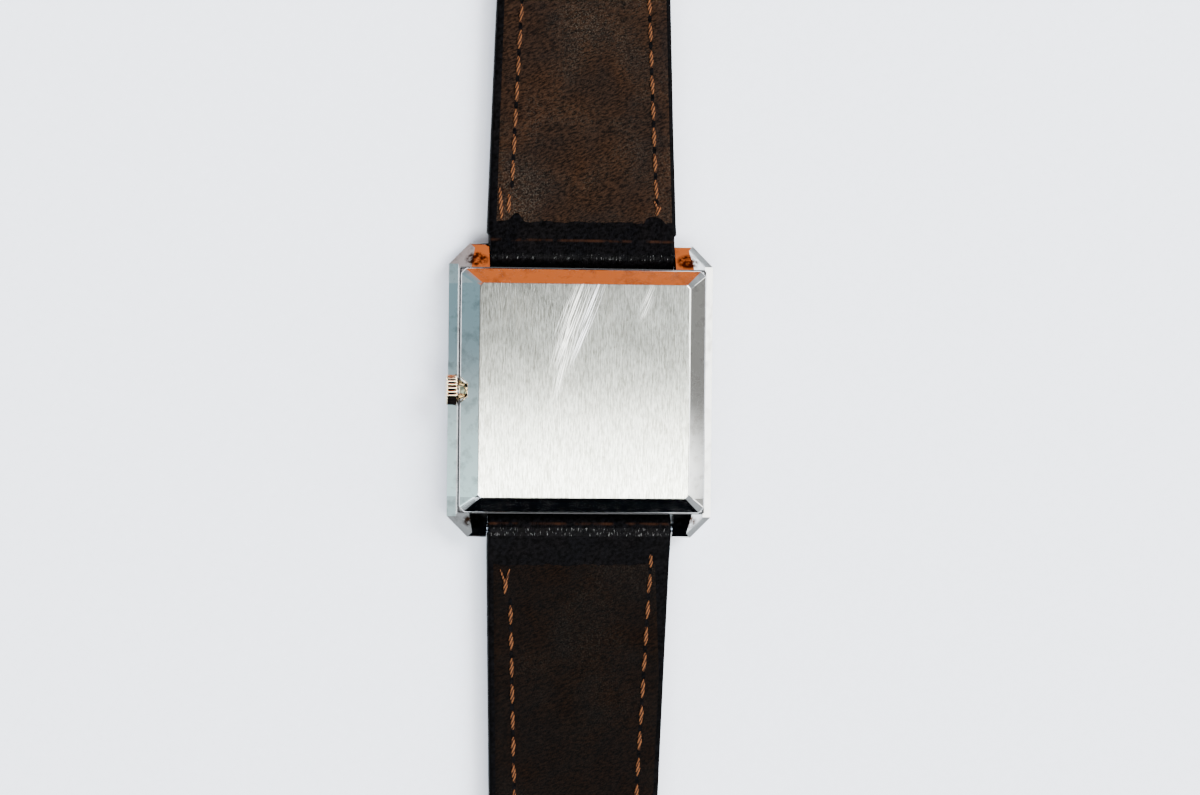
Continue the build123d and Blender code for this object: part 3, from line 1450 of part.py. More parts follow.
short_half = StrapHalf(
    1,
    short_strap_run,
    (
        (-loop_radius, short_loop_width),
        (strap_step, short_loop_width),
        (strap_step + side_gap, short_body_width),
        (short_taper_length, strap_end_width),
        (short_strap_length + buckle_end_radius, strap_end_width),
    ),
    buckle_end_radius,
    short_strap_length,
    0,
)
long_half = StrapHalf(
    -1,
    long_strap_run,
    (
        (-loop_radius, long_body_width),
        (strap_step, long_body_width),
        (long_taper_length, strap_end_width),
        (long_strap_length - tip_length, strap_end_width),
        (long_strap_length - tip_length / 3, strap_end_width / 2),
        (long_strap_length, strap_end_width / 8),
    ),
    0,
    long_filler_length,
    long_filler_skive,
)
build_strap(short_half, "12")
build_strap(long_half, "6")

# Keepers
keeper_inner = strap_end_width + 2 * keeper_gap
for name, reach in (("keeper_fixed", fixed_keeper_reach), ("keeper_free", free_keeper_reach)):
    with BuildPart() as keeper:
        middle = spring_bar_reach + reach
        with BuildSketch(Plane(origin=(0, middle, 0), x_dir=(1, 0, 0), z_dir=(0, -1, 0))):
            with Locations((0, keeper_wall + keeper_room / 2)):
                RectangleRounded(keeper_inner + 2 * keeper_wall, keeper_room + 2 * keeper_wall,
                                 keeper_round + keeper_wall)
                Rectangle(keeper_inner, keeper_room, mode=Mode.SUBTRACT)
        extrude(amount=keeper_width / 2, both=True)
    save(keeper.part, name)

# Buckle frame with its notch, the bar and the tongue
buckle_y = spring_bar_reach + short_strap_length
arm_inner = strap_end_width / 2 + buckle_arm_gap
frame_half = arm_inner + buckle_arm_width
frame_z = buckle_z - buckle_thickness / 2
with BuildPart() as buckle_frame:
    with BuildSketch(Plane.XY.offset(frame_z)):
        with Locations((0, buckle_y - buckle_heel)):
            Rectangle(2 * frame_half, buckle_length + buckle_heel, align=(Align.CENTER, Align.MIN))
            Rectangle(2 * arm_inner, buckle_length + buckle_heel - buckle_arm_width,
                      align=(Align.CENTER, Align.MIN), mode=Mode.SUBTRACT)
    extrude(amount=buckle_thickness)
    outer_corners = buckle_frame.edges().filter_by(Axis.Z).group_by(Axis.Y)[-1]
    fillet(outer_corners, buckle_arm_width)
    chamfer(buckle_frame.faces().sort_by(Axis.Z)[0].outer_wire().edges(), buckle_bevel)
    chamfer(buckle_frame.faces().sort_by(Axis.Z)[-1].outer_wire().edges(), buckle_bevel)
    cross_rod(-frame_half, buckle_y, buckle_z, buckle_bar_radius + pivot_gap, 2 * frame_half,
              Mode.SUBTRACT)
    with BuildSketch(Plane.XY.offset(frame_z)):
        with Locations((0, buckle_y + buckle_length)):
            Rectangle(tongue_width + 2 * side_gap, 2 * buckle_arm_width)
    extrude(amount=tongue_notch_depth, mode=Mode.SUBTRACT)
save(buckle_frame.part, "buckle_frame")

with BuildPart() as buckle_bar:
    cross_rod(-frame_half + side_gap, buckle_y, buckle_z, buckle_bar_radius,
              2 * (frame_half - side_gap))
save(buckle_bar.part, "buckle_bar")

notch_z = frame_z + tongue_notch_depth - side_gap
with BuildPart() as buckle_tongue:
    cross_rod(-tongue_hub_width / 2, buckle_y, buckle_z, tongue_hub_radius, tongue_hub_width)
    with BuildSketch(across(0, buckle_y, 0)):
        Polygon(
            (0, buckle_z - tongue_hub_radius),
            (buckle_length + tongue_overhang, notch_z - tongue_thickness),
            (buckle_length + tongue_overhang, notch_z),
            (tongue_hub_radius, notch_z + tongue_thickness / 2),
            (0, buckle_z),
        )
    extrude(amount=tongue_width / 2, both=True)
    cross_rod(-tongue_hub_width / 2, buckle_y, buckle_z, buckle_bar_radius + pivot_gap,
              tongue_hub_width, Mode.SUBTRACT)
save(buckle_tongue.part, "buckle_tongue")
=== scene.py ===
"""A rectangular wristwatch lying face down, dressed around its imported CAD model.

Every object is in metres, in the frame of the CAD model: +Z out of the case back, +Y towards
12 o'clock, and the crown on the -X side. Sizes below are in millimetres unless they say metres.
"""

import json
import logging
import math
from collections.abc import Callable, Sequence
from dataclasses import dataclass, field
from enum import Enum
from functools import cached_property

import bmesh
import bpy
from mathutils import Matrix, Vector, noise

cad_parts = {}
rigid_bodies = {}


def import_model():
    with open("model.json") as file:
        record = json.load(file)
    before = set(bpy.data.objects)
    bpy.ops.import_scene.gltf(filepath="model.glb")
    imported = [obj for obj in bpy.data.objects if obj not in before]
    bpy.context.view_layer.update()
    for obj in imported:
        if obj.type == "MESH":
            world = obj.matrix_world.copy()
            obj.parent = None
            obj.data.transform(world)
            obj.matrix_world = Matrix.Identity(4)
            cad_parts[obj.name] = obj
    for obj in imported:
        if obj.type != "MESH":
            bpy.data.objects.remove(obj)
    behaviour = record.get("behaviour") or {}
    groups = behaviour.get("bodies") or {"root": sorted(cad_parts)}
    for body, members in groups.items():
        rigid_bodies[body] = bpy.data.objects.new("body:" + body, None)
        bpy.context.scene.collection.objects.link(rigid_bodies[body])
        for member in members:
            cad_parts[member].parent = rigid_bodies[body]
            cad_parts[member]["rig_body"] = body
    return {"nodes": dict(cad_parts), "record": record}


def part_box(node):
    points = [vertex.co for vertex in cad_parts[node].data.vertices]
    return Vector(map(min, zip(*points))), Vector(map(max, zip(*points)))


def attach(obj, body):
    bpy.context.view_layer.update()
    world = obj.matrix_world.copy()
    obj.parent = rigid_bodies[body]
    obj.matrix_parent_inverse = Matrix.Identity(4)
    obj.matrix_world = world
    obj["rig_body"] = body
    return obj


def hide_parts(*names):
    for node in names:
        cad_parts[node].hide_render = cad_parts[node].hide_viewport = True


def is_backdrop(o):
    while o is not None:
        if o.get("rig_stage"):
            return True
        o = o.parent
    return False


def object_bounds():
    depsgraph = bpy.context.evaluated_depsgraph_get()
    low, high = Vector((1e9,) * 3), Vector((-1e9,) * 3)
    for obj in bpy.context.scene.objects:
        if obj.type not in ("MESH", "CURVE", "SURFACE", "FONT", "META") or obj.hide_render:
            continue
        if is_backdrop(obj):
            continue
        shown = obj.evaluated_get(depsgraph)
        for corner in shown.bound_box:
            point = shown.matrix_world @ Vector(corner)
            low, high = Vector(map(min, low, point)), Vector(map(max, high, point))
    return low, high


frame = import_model()

Form = bmesh.types.BMesh
Material = bpy.types.Material
Piece = bpy.types.Object
Socket = bpy.types.NodeSocket
Table = Sequence[tuple[float, float]]

MM = 0.001
FLAT_HALF = 10.2  # mm from the middle of the back to the end bevels
LUG_FACET = (10.2, 12.5, 2.9)  # the middle of a lug's inner facet, in mm
logging.basicConfig(level=logging.INFO, format="%(message)s")
log = logging.getLogger("watch")


class Along(Enum):
    """The axis that a bore runs along, as the degrees that an upright peg turns about Y."""

    X = 90.0
    Z = 0.0


# Nodes and colours


def linear(colour: str) -> tuple[float, float, float, float]:
    """Turns an sRGB hex value into the linear colour that the shaders take.

    Args:
        colour: Six hex digits.

    Returns:
        Red, green, blue and an opaque alpha.
    """
    shares = [int(colour[i:i + 2], 16) / 255 for i in (0, 2, 4)]
    red, green, blue = [s / 12.92 if s <= 0.04045 else ((s + 0.055) / 1.055) ** 2.4 for s in shares]
    return red, green, blue, 1.0


def per_metre(size: float) -> float:
    """The scale of a pattern whose features are a number of millimetres across."""
    return 1 / (size * MM)


class Nodes:
    """The nodes of a material or of the sky, as they are laid."""

    def __init__(self, tree: bpy.types.NodeTree) -> None:
        """Takes the tree that they go into."""
        self.tree = tree

    def plug(self, socket: Socket, value: object) -> None:
        """Links another socket into an input, or gives the input a constant.

        Args:
            socket: The input.
            value: The socket to link, or the constant.
        """
        if isinstance(value, Socket):
            self.tree.links.new(value, socket)
        else:
            socket.default_value = value

    def add(self, kind: str, *inputs: object, output: str = "",
            named: dict[str, object] | None = None, **settings: object) -> Socket:
        """Adds a node with its settings, its constants and the links into it.

        Args:
            kind: The node's type, without the words that start every shader node's.
            inputs: A constant or the socket to link, for each input in the order shown.
            output: The name of the output wanted, or nothing for the first one shown.
            named: More inputs, by name.
            settings: The node's own properties.

        Returns:
            The output.
        """
        node = self.tree.nodes.new("ShaderNode" + kind)
        for name, value in settings.items():
            setattr(node, name, value)
        for socket, value in zip([one for one in node.inputs if one.enabled], inputs):
            self.plug(socket, value)
        for name, value in (named or {}).items():
            self.plug(node.inputs[name], value)
        return node.outputs[output] if output else next(o for o in node.outputs if o.enabled)


class Surface(Nodes):
    """A material being laid on a principled shader, over the object's own coordinates."""

    def __init__(self, name: str) -> None:
        """Starts the material.

        Args:
            name: What it is made of, and how its surface was made.
        """
        self.material = bpy.data.materials.new(name)
        self.material.use_nodes = True
        super().__init__(self.material.node_tree)
        self.places = self.add("TexCoord", output="Object")

    def done(self, inputs: dict[str, object]) -> Material:
        """Plugs the patterns and constants into the shader.

        Args:
            inputs: A constant or the socket to link, for each of its inputs by name.

        Returns:
            The finished material.
        """
        for name, value in inputs.items():
            self.plug(self.tree.nodes["Principled BSDF"].inputs[name], value)
        return self.material

    @cached_property
    def along(self) -> Socket:
        """How far each place lies towards 12 o'clock, in metres."""
        return self.add("SeparateXYZ", self.places, output="Y")

    def spots(self, size: float, detail: float, *levels: float) -> Socket:
        """Lays uneven spots, where a noise rises from one level to another.

        Args:
            size: A spot's size in mm.
            detail: How much finer structure the noise has.
            levels: Its low and high level, then what they give if that isn't 0 and 1.

        Returns:
            How strongly a spot shows at each place.
        """
        uneven = self.add("TexNoise", self.places, per_metre(size), detail)
        return self.add("MapRange", uneven, *levels)

    def streaks(self, at: Socket, sizes: Sequence[float], detail: float = 3.0,
                roughness: float = 0.5, distortion: float = 0.0) -> Socket:
        """Lays a noise that is drawn out into streaks.

        Args:
            at: The coordinates that it lies on.
            sizes: A streak's size along each axis in mm, endless where it is infinite.
            detail: How much finer structure the noise has.
            roughness: How strong that structure is.
            distortion: How much the streaks waver.

        Returns:
            How strongly a streak shows at each place, around 0.5.
        """
        drawn = self.add("Mapping", at, named={"Scale": [per_metre(size) for size in sizes]})
        return self.add("TexNoise", drawn, 1.0, detail, roughness, 2.0, distortion)

    def stained(self, colour: Socket, near: Socket, shown: Socket, tone: str) -> Socket:
        """Stains a colour where two patterns both show.

        Args:
            colour: The colour so far.
            near: The pattern that says where the stain lies.
            shown: The pattern that breaks it up.
            tone: The stain's colour.

        Returns:
            The stained colour.
        """
        share = self.add("Math", near, shown, operation="MULTIPLY")
        return self.add("Mix", share, colour, linear(tone), data_type="RGBA")

    def multiplied(self, colour: object, share: Socket) -> Socket:
        """Darkens a colour by a share of itself at each place."""
        return self.add("Mix", 1.0, colour, share, data_type="RGBA", blend_type="MULTIPLY")

    def bulged(self, bulge: float) -> Socket:
        """Turns the normals outwards in step with the way up or down the case, as wear does.

        Args:
            bulge: How fast they turn, in radians for each half metre.

        Returns:
            The turned normal.
        """
        way = self.add("Math", self.along, operation="ABSOLUTE")
        held = self.add("Math", way, FLAT_HALF * MM, operation="MINIMUM")
        square = self.add("Math", held, held, operation="MULTIPLY")
        height = self.add("Math", square, -bulge, operation="MULTIPLY")
        return self.add("Bump", named={"Height": height, "Strength": 1.0, "Distance": 1.0})


# Finishes


@dataclass(frozen=True)
class Rub:
    """A band of rubbing on the case back, in mm: hairs of one tone, strongest in its middle; a
    near-white tone is a painted highlight of the light that the hairs catch.
    """

    middle: tuple[float, float]
    reach: tuple[float, float]
    lean: float
    hair: float
    tone: str
    strength: float


@dataclass(frozen=True)
class BrushedSteel:
    """Stainless steel brushed on a belt: broken parallel lines, and a faint bulge of the flat.

    The lines run along Y. A belt's own lines are finer than these, which are as coarse as they
    have to be to show in a picture of the whole watch.
    """

    name: str
    colour: str = "dddcd2"
    dark: str = "a3a297"
    roughness: float = 0.3
    line_width: float = 0.09
    line_length: float = 5.0
    depth: float = 0.012
    bulge: float = 0.0
    # painted shade: the share of the colour left at 12 o'clock, and where the darkening starts, in
    # mm
    painted_shade_at_12: float = 1.0
    painted_shade_from: float = -3.0
    # rubs whose near-white tones paint the highlights that their hairs catch
    rubs_and_highlights: tuple[Rub, ...] = ()
    hair_length: float = 7.0
    hair_roughness: float = 0.25

    def build(self) -> Material:
        """Builds the material.

        Returns:
            The material, with lines in its tone and height and clouds in its gloss.
        """
        steel = Surface(self.name)
        lines, flecks = (
            steel.streaks(steel.places, (width, length, width), 4.0, roughness=0.65)
            for width, length in ((self.line_width, self.line_length),
                                  (self.line_width * 1.5, self.line_length * 0.3)))
        both = steel.add("Math", lines, flecks, operation="ADD")
        tone = steel.add("MapRange", both, 0.82, 1.16)
        colour = steel.add("Mix", tone, linear(self.dark), linear(self.colour), data_type="RGBA")
        roughness = steel.spots(3.0, 4.0, 0.3, 0.7, self.roughness * 0.93, self.roughness * 1.1)
        # painted shade: darker towards 12 o'clock, standing for the way the back's reflection falls
        # off there
        if self.painted_shade_at_12 < 1:
            shade_to_12 = steel.add("MapRange", steel.along, self.painted_shade_from * MM, FLAT_HALF * MM, 1.0,
                             self.painted_shade_at_12)
            colour = steel.multiplied(colour, shade_to_12)
        if self.rubs_and_highlights:
            colour, roughness = self.rubbed_and_highlit(steel, colour, roughness)
        relief = {"Height": both, "Strength": 0.5, "Distance": self.depth * MM}
        if self.bulge:
            relief["Normal"] = steel.bulged(self.bulge)
        return steel.done({"Base Color": colour, "Roughness": roughness, "Metallic": 1.0,
                           "Normal": steel.add("Bump", named=relief)})

    def rubbed_and_highlit(self, steel: Surface, colour: Socket, roughness: Socket) -> tuple[Socket, Socket]:
        """Adds the rubbed streaks that cross a case back, with painted highlights in their
        near-white tones, and its small dark marks.

        Args:
            steel: The material.
            colour: Its colour so far.
            roughness: Its roughness so far.

        Returns:
            The colour and the roughness with the marks in them.
        """
        for rub in self.rubs_and_highlights:
            turned = steel.add("Mapping", steel.places, [*(MM * share for share in rub.middle), 0],
                               (0, 0, math.radians(-rub.lean)), vector_type="TEXTURE")
            squeezed = steel.add("Mapping", turned, named={
                "Scale": [*(per_metre(size) for size in rub.reach), 0]})
            band = steel.add("TexGradient", squeezed, output="Fac", gradient_type="SPHERICAL")
            hairs = steel.streaks(turned, (rub.hair, self.hair_length, math.inf), distortion=0.2)
            fine = steel.add("MapRange", hairs, 0.52, 0.6)
            shown = steel.add("Math", fine, band, operation="MULTIPLY")
            share = steel.add("Math", shown, rub.strength, operation="MULTIPLY", use_clamp=True)
            # a near-white tone here is a painted highlight where the rubbed hairs catch the light
            colour = steel.add("Mix", share, colour, linear(rub.tone), data_type="RGBA")
            roughness = steel.add("Math", share, self.hair_roughness, roughness,
                                  operation="MULTIPLY_ADD")
        pits = steel.spots(0.5, 2.0, 0.7, 0.78, 0.0, 0.35)
        return steel.add("Mix", pits, colour, linear("4a4232"), data_type="RGBA"), roughness


@dataclass(frozen=True)
class PolishedSteel:
    """Steel polished on a felt wheel: a mirror, with the hairlines and dull patches of years.

    A real hairline is far finer than these, which are as coarse as they have to be to show.
    """

    name: str
    colour: str = "cfd0cc"
    grime: str = "4a3c2c"
    roughness: float = 0.12
    hairline: tuple[float, float, float] = (0.12, 3.0, 0.5)
    hairline_turn: tuple[float, float, float] = (0.5, 0.4, 0.9)
    depth: float = 0.004
    dirt: float = 0.0
    bulge: float = 0.0
    corner_grime: bool = False
    corner_reach: tuple[float, float, float] = (1.2, 0.8, 1.6)

    def build(self) -> Material:
        """Builds the material.

        Returns:
            The material, with hairlines in its height and patches in its gloss and tone.
        """
        steel = Surface(self.name)
        drawn = steel.add("Mapping", steel.places, named={
            "Rotation": self.hairline_turn, "Scale": [per_metre(size) for size in self.hairline]})
        hairs = steel.add("TexNoise", drawn, 1.0, 3.0)
        patches = steel.add("TexNoise", steel.places, per_metre(1.1), 5.0)
        rough = steel.add("MapRange", patches, 0.35, 0.7, self.roughness * 0.7,
                          self.roughness * 1.7)
        dirty = steel.add("MapRange", patches, 0.5, 0.7, 0.0, self.dirt)
        colour = steel.add("Mix", dirty, linear(self.colour), linear(self.grime),
                           data_type="RGBA")
        if self.corner_grime:
            colour = self.cornered(steel, colour)
        relief = {"Height": hairs, "Strength": 0.12, "Distance": self.depth * MM}
        if self.bulge:
            relief["Normal"] = steel.bulged(self.bulge)
        return steel.done({"Base Color": colour, "Roughness": rough, "Metallic": 1.0,
                           "Normal": steel.add("Bump", named=relief)})

    def cornered(self, steel: Surface, colour: Socket) -> Socket:
        """Adds the brown grime that a strap leaves on the inner facets of the four lugs.

        Args:
            steel: The material.
            colour: Its colour so far.

        Returns:
            The colour with the grime in it.
        """
        folded = steel.add("VectorMath", steel.places, operation="ABSOLUTE")
        around = steel.add("VectorMath", folded, [MM * share for share in LUG_FACET],
                           operation="SUBTRACT")
        squeezed = steel.add("VectorMath", around, [per_metre(size) for size in self.corner_reach],
                             operation="MULTIPLY")
        way = steel.add("VectorMath", squeezed, operation="LENGTH")
        near = steel.add("MapRange", way, 0.7, 1.05, 1.0, 0.0)
        return steel.stained(colour, near, steel.spots(0.45, 4.0, 0.32, 0.54), "3a2416")


@dataclass(frozen=True)
class Leather:
    """Calf leather: its dye, the slanting rows of its grain, the wear of the wrist, and any painted
    shade along it and painted warm reflection on its folds.
    """

    name: str
    colour: str
    warm: str
    light: str
    grain: float
    row: float
    patch: float
    roughness: float
    depth: float
    row_lean: float = 24.0
    shine: float = 0.12
    bloom: float = 0.0
    # painted shade: the share of the colour left at 6 o'clock, rising to all of it at 12, over this
    # reach in mm
    painted_shade_at_6: float = 1.0
    painted_shade_reach: float = 16.0
    # painted reflection: thin brown lines across the strap, at these reaches in mm, where a fold
    # catches the warm light
    warm_reflection_lines: tuple[float, ...] = ()
    warm_reflection_tone: str = "26150c"
    bend: float = 0.0
    wrinkle: tuple[float, float, float] = (0.14, 1.1, 1.1)
    gloss: float = 0.0
    glint: float = 0.0
    glint_size: tuple[float, float] = (0.13, 0.5)
    glint_offset: float = 0.39
    glint_reach: float = 0.4

    def build(self) -> Material:
        """Builds the material.

        Returns:
            The material, with grain and wrinkles in its height and wear in its colour.
        """
        leather = Surface(self.name)
        rows = leather.add("Mapping", leather.places, vector_type="TEXTURE", named={
            "Rotation": (0, 0, math.radians(self.row_lean)),
            "Scale": (self.row * MM, self.grain * MM, self.grain * MM)})
        grain = leather.add("TexNoise", rows, 1.0, 4.0, 0.55)
        cells = leather.add("TexVoronoi", leather.places, per_metre(self.grain * 1.6),
                            feature="DISTANCE_TO_EDGE")
        pores = leather.add("MapRange", cells, 0.0, 0.22)
        patches = leather.add("TexNoise", leather.places, per_metre(self.patch), 4.0,
                              named={"Distortion": 0.6})
        height = leather.add("Math", pores, 0.35, grain, operation="MULTIPLY_ADD")
        fine = leather.add("Bump", named={"Height": height, "Strength": 0.8,
                                          "Distance": self.depth * MM})
        normal = leather.add("Bump", named={"Height": patches, "Strength": 0.5,
                                            "Distance": self.depth * 5 * MM, "Normal": fine})
        if self.bend:
            normal = self.wrinkled(leather, normal)
            leather.done({"Coat Weight": self.glinting(leather), "Coat Roughness": 0.1,
                          "Coat Normal": normal})
        rough = leather.add("MapRange", patches, 0.3, 0.7, self.roughness * 0.85,
                            self.roughness * 1.2)
        return leather.done({"Base Color": self.dyed(leather, grain, patches), "Roughness": rough,
                             "Normal": normal, "Specular IOR Level": self.shine})

    def dyed(self, leather: Surface, grain: Socket, patches: Socket) -> Socket:
        """Adds the colour: warm patches, dark valleys, a pale bloom, thin lines of painted warm
        reflection on the folds, and painted shade towards 6 o'clock.

        Args:
            leather: The material.
            grain: The grain's height.
            patches: The slow unevenness.

        Returns:
            The colour.
        """
        warmth = leather.add("MapRange", patches, 0.32, 0.78)
        dye = leather.add("Mix", warmth, linear(self.colour), linear(self.warm),
                          data_type="RGBA")
        valley = leather.add("MapRange", grain, 0.38, 0.64, 0.2, 1.6)
        colour = leather.multiplied(dye, valley)
        if self.bloom:
            where = leather.add("TexNoise", leather.places, per_metre(self.patch * 1.7), 2.0,
                                named={"Lacunarity": 2.3})
            wear_and_shade = leather.add("MapRange", where, 0.45, 0.72)
            dust = leather.spots(self.grain * 0.9, 2.0, 0.5, 0.68, 0.0, self.bloom)
            colour = leather.stained(colour, wear_and_shade, dust, self.light)
        if self.warm_reflection_lines:
            broken = leather.spots(1.6, 4.0, 0.45, 0.62, 0.0, 0.7)
        # painted reflection of the warm light along each fold
        for line in self.warm_reflection_lines:
            off = leather.add("Math", leather.along, line * MM, operation="SUBTRACT")
            way = leather.add("Math", off, operation="ABSOLUTE")
            near = leather.add("MapRange", way, 0.02 * MM, 0.2 * MM, 1.0, 0.0,
                               interpolation_type="SMOOTHSTEP")
            colour = leather.stained(colour, near, broken, self.warm_reflection_tone)
        # painted shade: darker towards 6 o'clock
        if self.painted_shade_at_6 < 1:
            wear_and_shade = leather.add("MapRange", leather.along, -self.painted_shade_reach * MM,
                               self.painted_shade_reach * MM, self.painted_shade_at_6, 1.0)
            colour = leather.multiplied(colour, wear_and_shade)
        return colour

    def wrinkled(self, leather: Surface, normal: Socket) -> Socket:
        """Adds the short wrinkles that run over the bend round the spring bar.

        Args:
            leather: The material.
            normal: Its normal so far.

        Returns:
            The wrinkled normal.
        """
        wrinkles = leather.add("MapRange", leather.streaks(leather.places, self.wrinkle),
                               0.54, 0.8)
        way = leather.add("Math", leather.along, operation="ABSOLUTE")
        near = leather.add("MapRange", way, self.bend * MM, (self.bend + 0.8) * MM, 1.0, 0.1)
        height = leather.add("Math", wrinkles, near, operation="MULTIPLY")
        return leather.add("Bump", named={"Height": height, "Strength": 0.9,
                                          "Distance": 0.07 * MM, "Normal": normal})

    def glinting(self, leather: Surface) -> Socket:
        """Adds the short glints of the polish that is left on the bends, as a coat.

        Args:
            leather: The material.

        Returns:
            The coat's weight.
        """
        strokes = leather.streaks(leather.places, (*self.glint_size, math.inf))
        glints = leather.add("MapRange", strokes, 0.6, 0.7, self.gloss, self.glint)
        lit = leather.add("Math", leather.along, self.glint_offset * MM, operation="ADD")
        way = leather.add("Math", lit, operation="ABSOLUTE")
        bent = leather.add("Math", way, self.bend * MM, self.glint_reach * MM,
                           operation="COMPARE")
        return leather.add("Math", glints, bent, operation="MULTIPLY")


@dataclass(frozen=True)
class Thread:
    """Waxed linen thread: dull, with twisted plies, and painted shade between the plies that leaves
    their crowns lighter.
    """

    name: str
    colour: str = "623c22"
    # the painted shade between the plies
    dark: str = "1e0f08"
    ply: float = 0.26
    fibre: float = 0.6  # coarser than a real one, so that it shows
    slant: float = 25.0
    depth: float = 0.05

    def build(self) -> Material:
        """Builds the material.

        Returns:
            The material, with slanting plies and a fibrous tone.
        """
        thread = Surface(self.name)
        turned = thread.add("Mapping", thread.places, vector_type="TEXTURE",
                            named={"Rotation": (0, 0, math.radians(-self.slant))})
        # a wave texture has one band in every tau / 20 of its scale
        plies = thread.add("TexWave", turned, math.tau / (20 * self.ply * MM), 2.2, 2.0, 1.0,
                           output="Fac", wave_type="BANDS", bands_direction="X")
        fibres = thread.add("TexNoise", thread.places, per_metre(self.fibre), 5.0, 0.7)
        # painted shade: the colour darkens in the grooves between the plies
        mixed = thread.add("Math", plies, fibres, operation="MULTIPLY")
        tone = thread.add("MapRange", mixed, 0.06, 0.46)
        tint = thread.add("Mix", tone, linear(self.dark), linear(self.colour),
                          data_type="RGBA")
        relief = thread.add("Bump", named={"Height": plies, "Strength": 0.8,
                                           "Distance": self.depth * MM})
        return thread.done({"Base Color": tint, "Normal": relief, "Roughness": 0.8,
                            "Specular IOR Level": 0.08})


@dataclass(frozen=True)
class Coated:
    """A plain coat such as paint, rubber or moulded plastic, even to the eye but for a mottle.

    The mottle's grit is coarser than a real one, so that it shows.
    """

    name: str
    colour: str
    roughness: float = 0.5
    metallic: float = 0.0
    mottle: float = 0.12
    grit: float = 0.3
    depth: float = 0.004
    shine: float = 0.5

    def build(self) -> Material:
        """Builds the material.

        Returns:
            The material, with a little grit in its tone and height.
        """
        coat = Surface(self.name)
        grit = coat.add("TexNoise", coat.places, per_metre(self.grit), 3.0)
        shade = coat.add("MapRange", grit, 0.3, 0.7, 1 - self.mottle, 1.0)
        relief = coat.add("Bump", named={"Height": grit, "Strength": 0.3,
                                         "Distance": self.depth * MM})
        return coat.done({"Base Color": coat.multiplied(linear(self.colour), shade),
                          "Normal": relief, "Roughness": self.roughness,
                          "Metallic": self.metallic, "Specular IOR Level": self.shine})


@dataclass(frozen=True)
class MineralGlass:
    """Float glass, ground and polished: clear, with an even gloss and the faintest smear."""

    name: str = "mineral glass"
    colour: str = "fbfdfc"
    smear: float = 5.0

    def build(self) -> Material:
        """Builds the material."""
        glass = Surface(self.name)
        return glass.done({"Base Color": linear(self.colour), "IOR": 1.52,
                           "Transmission Weight": 1.0,
                           "Roughness": glass.spots(self.smear, 2.0, 0.0, 1.0, 0.01, 0.05)})


# what each slot of the record is made of, with a comment on what that gives the eye
SLOT_FINISHES = {
    # felt wheel polish: it mirrors the room, with dull patches and brown in the lug corners
    "case_steel": PolishedSteel("polished stainless steel", roughness=0.07, dirt=0.35, bulge=4.0,
                                corner_grime=True),
    # polished and then rubbed in use: a softer mirror
    "buckle_steel": PolishedSteel("polished buckle steel", roughness=0.16),
    # polished and blued over a flame: a cool, dark mirror
    "spring_steel": PolishedSteel("blued spring steel", colour="7d8794", roughness=0.2),
    # grained on a belt and plated: pale and warm, with faint lines
    "movement_nickel": BrushedSteel("nickel plated brass", colour="d8d6cc", dark="b7b5aa"),
    # grained and gilt: warm yellow, with faint lines
    "wheel_brass": BrushedSteel("gilt brass", colour="d9b66a", dark="b08c45", roughness=0.25),
    # ground and polished: deep red with a sharp gloss
    "jewel": Coated("ruby", "9a1028", roughness=0.08, mottle=0.05),
    "crystal_glass": MineralGlass(),
    # moulded: black and matt, then off-white with a soft gloss
    "gasket_rubber": Coated("nitrile rubber", "1c1c1e", roughness=0.6),
    "spacer_plastic": Coated("acetal", "d9d6cf", roughness=0.45),
    # sprayed over fine metal flake: silvery, even and satin
    "dial_paint": Coated("silvered dial lacquer", "d6d3c8", roughness=0.35, metallic=0.6,
                         mottle=0.06),
    # oxidised in a bath: black with a soft gloss
    "hands_black": Coated("black oxide", "111114", roughness=0.3),
    # drum dyed and ironed: near black, matt, with glints where the bends were rubbed, and thin
    # lines of painted warm reflection on its folds
    "strap_black": Leather("black calf", "030304", "060505", "2c221d", grain=0.3, row=0.4,
                           patch=2.6, roughness=0.45, depth=0.03, gloss=0.01, glint=0.65,
                           shine=0.01, bend=13.15, warm_reflection_lines=(14.45, -12.75)),
    # tanned and left open, then darkened by the wrist: brown, with a grey bloom, and painted shade
    # that darkens it towards 6 o'clock
    "strap_brown": Leather("brown calf lining", "130c08", "1f1209", "7d7364", grain=0.16,
                           row=0.4, patch=4.2, roughness=0.6, depth=0.035, bloom=0.1,
                           shine=0.02, painted_shade_at_6=0.25),
    # pressed board: brown, rough and without gloss
    "strap_filler": Coated("pressed fibre filler", "6b5a48", roughness=0.9),
}

# brushed along the case: broken pale lines, crossed by the rubs of the wrist, whose near-white
# tones are painted highlights; painted shade darkens it towards 12 o'clock
BACK_STEEL = BrushedSteel(
    "brushed case back", colour="f4f6ea", dark="a5a598", line_width=0.08, line_length=2.2,
    bulge=7.0, painted_shade_at_12=0.34,
    rubs_and_highlights=(Rub((-1.4, 6.6), (1.3, 5.2), 20.0, 0.11, "fdfcf4", 1.8),
          Rub((0.1, 6.7), (0.8, 5.4), 21.0, 0.1, "ffffff", 1.8),
          Rub((-2.1, 3.4), (1.2, 5.8), 13.0, 0.1, "f8f7ee", 1.62),
          Rub((5.9, 8.5), (0.6, 2.0), 22.0, 0.09, "fdfcf4", 1.26),
          Rub((3.7, 5.2), (0.3, 2.4), 4.0, 0.12, "45433a", 2.16),
          Rub((-6.6, 7.6), (2.6, 2.6), 2.0, 0.1, "6f6e63", 1.26),
          Rub((2.0, 8.2), (1.5, 2.4), 3.0, 0.1, "6f6e63", 1.08)))
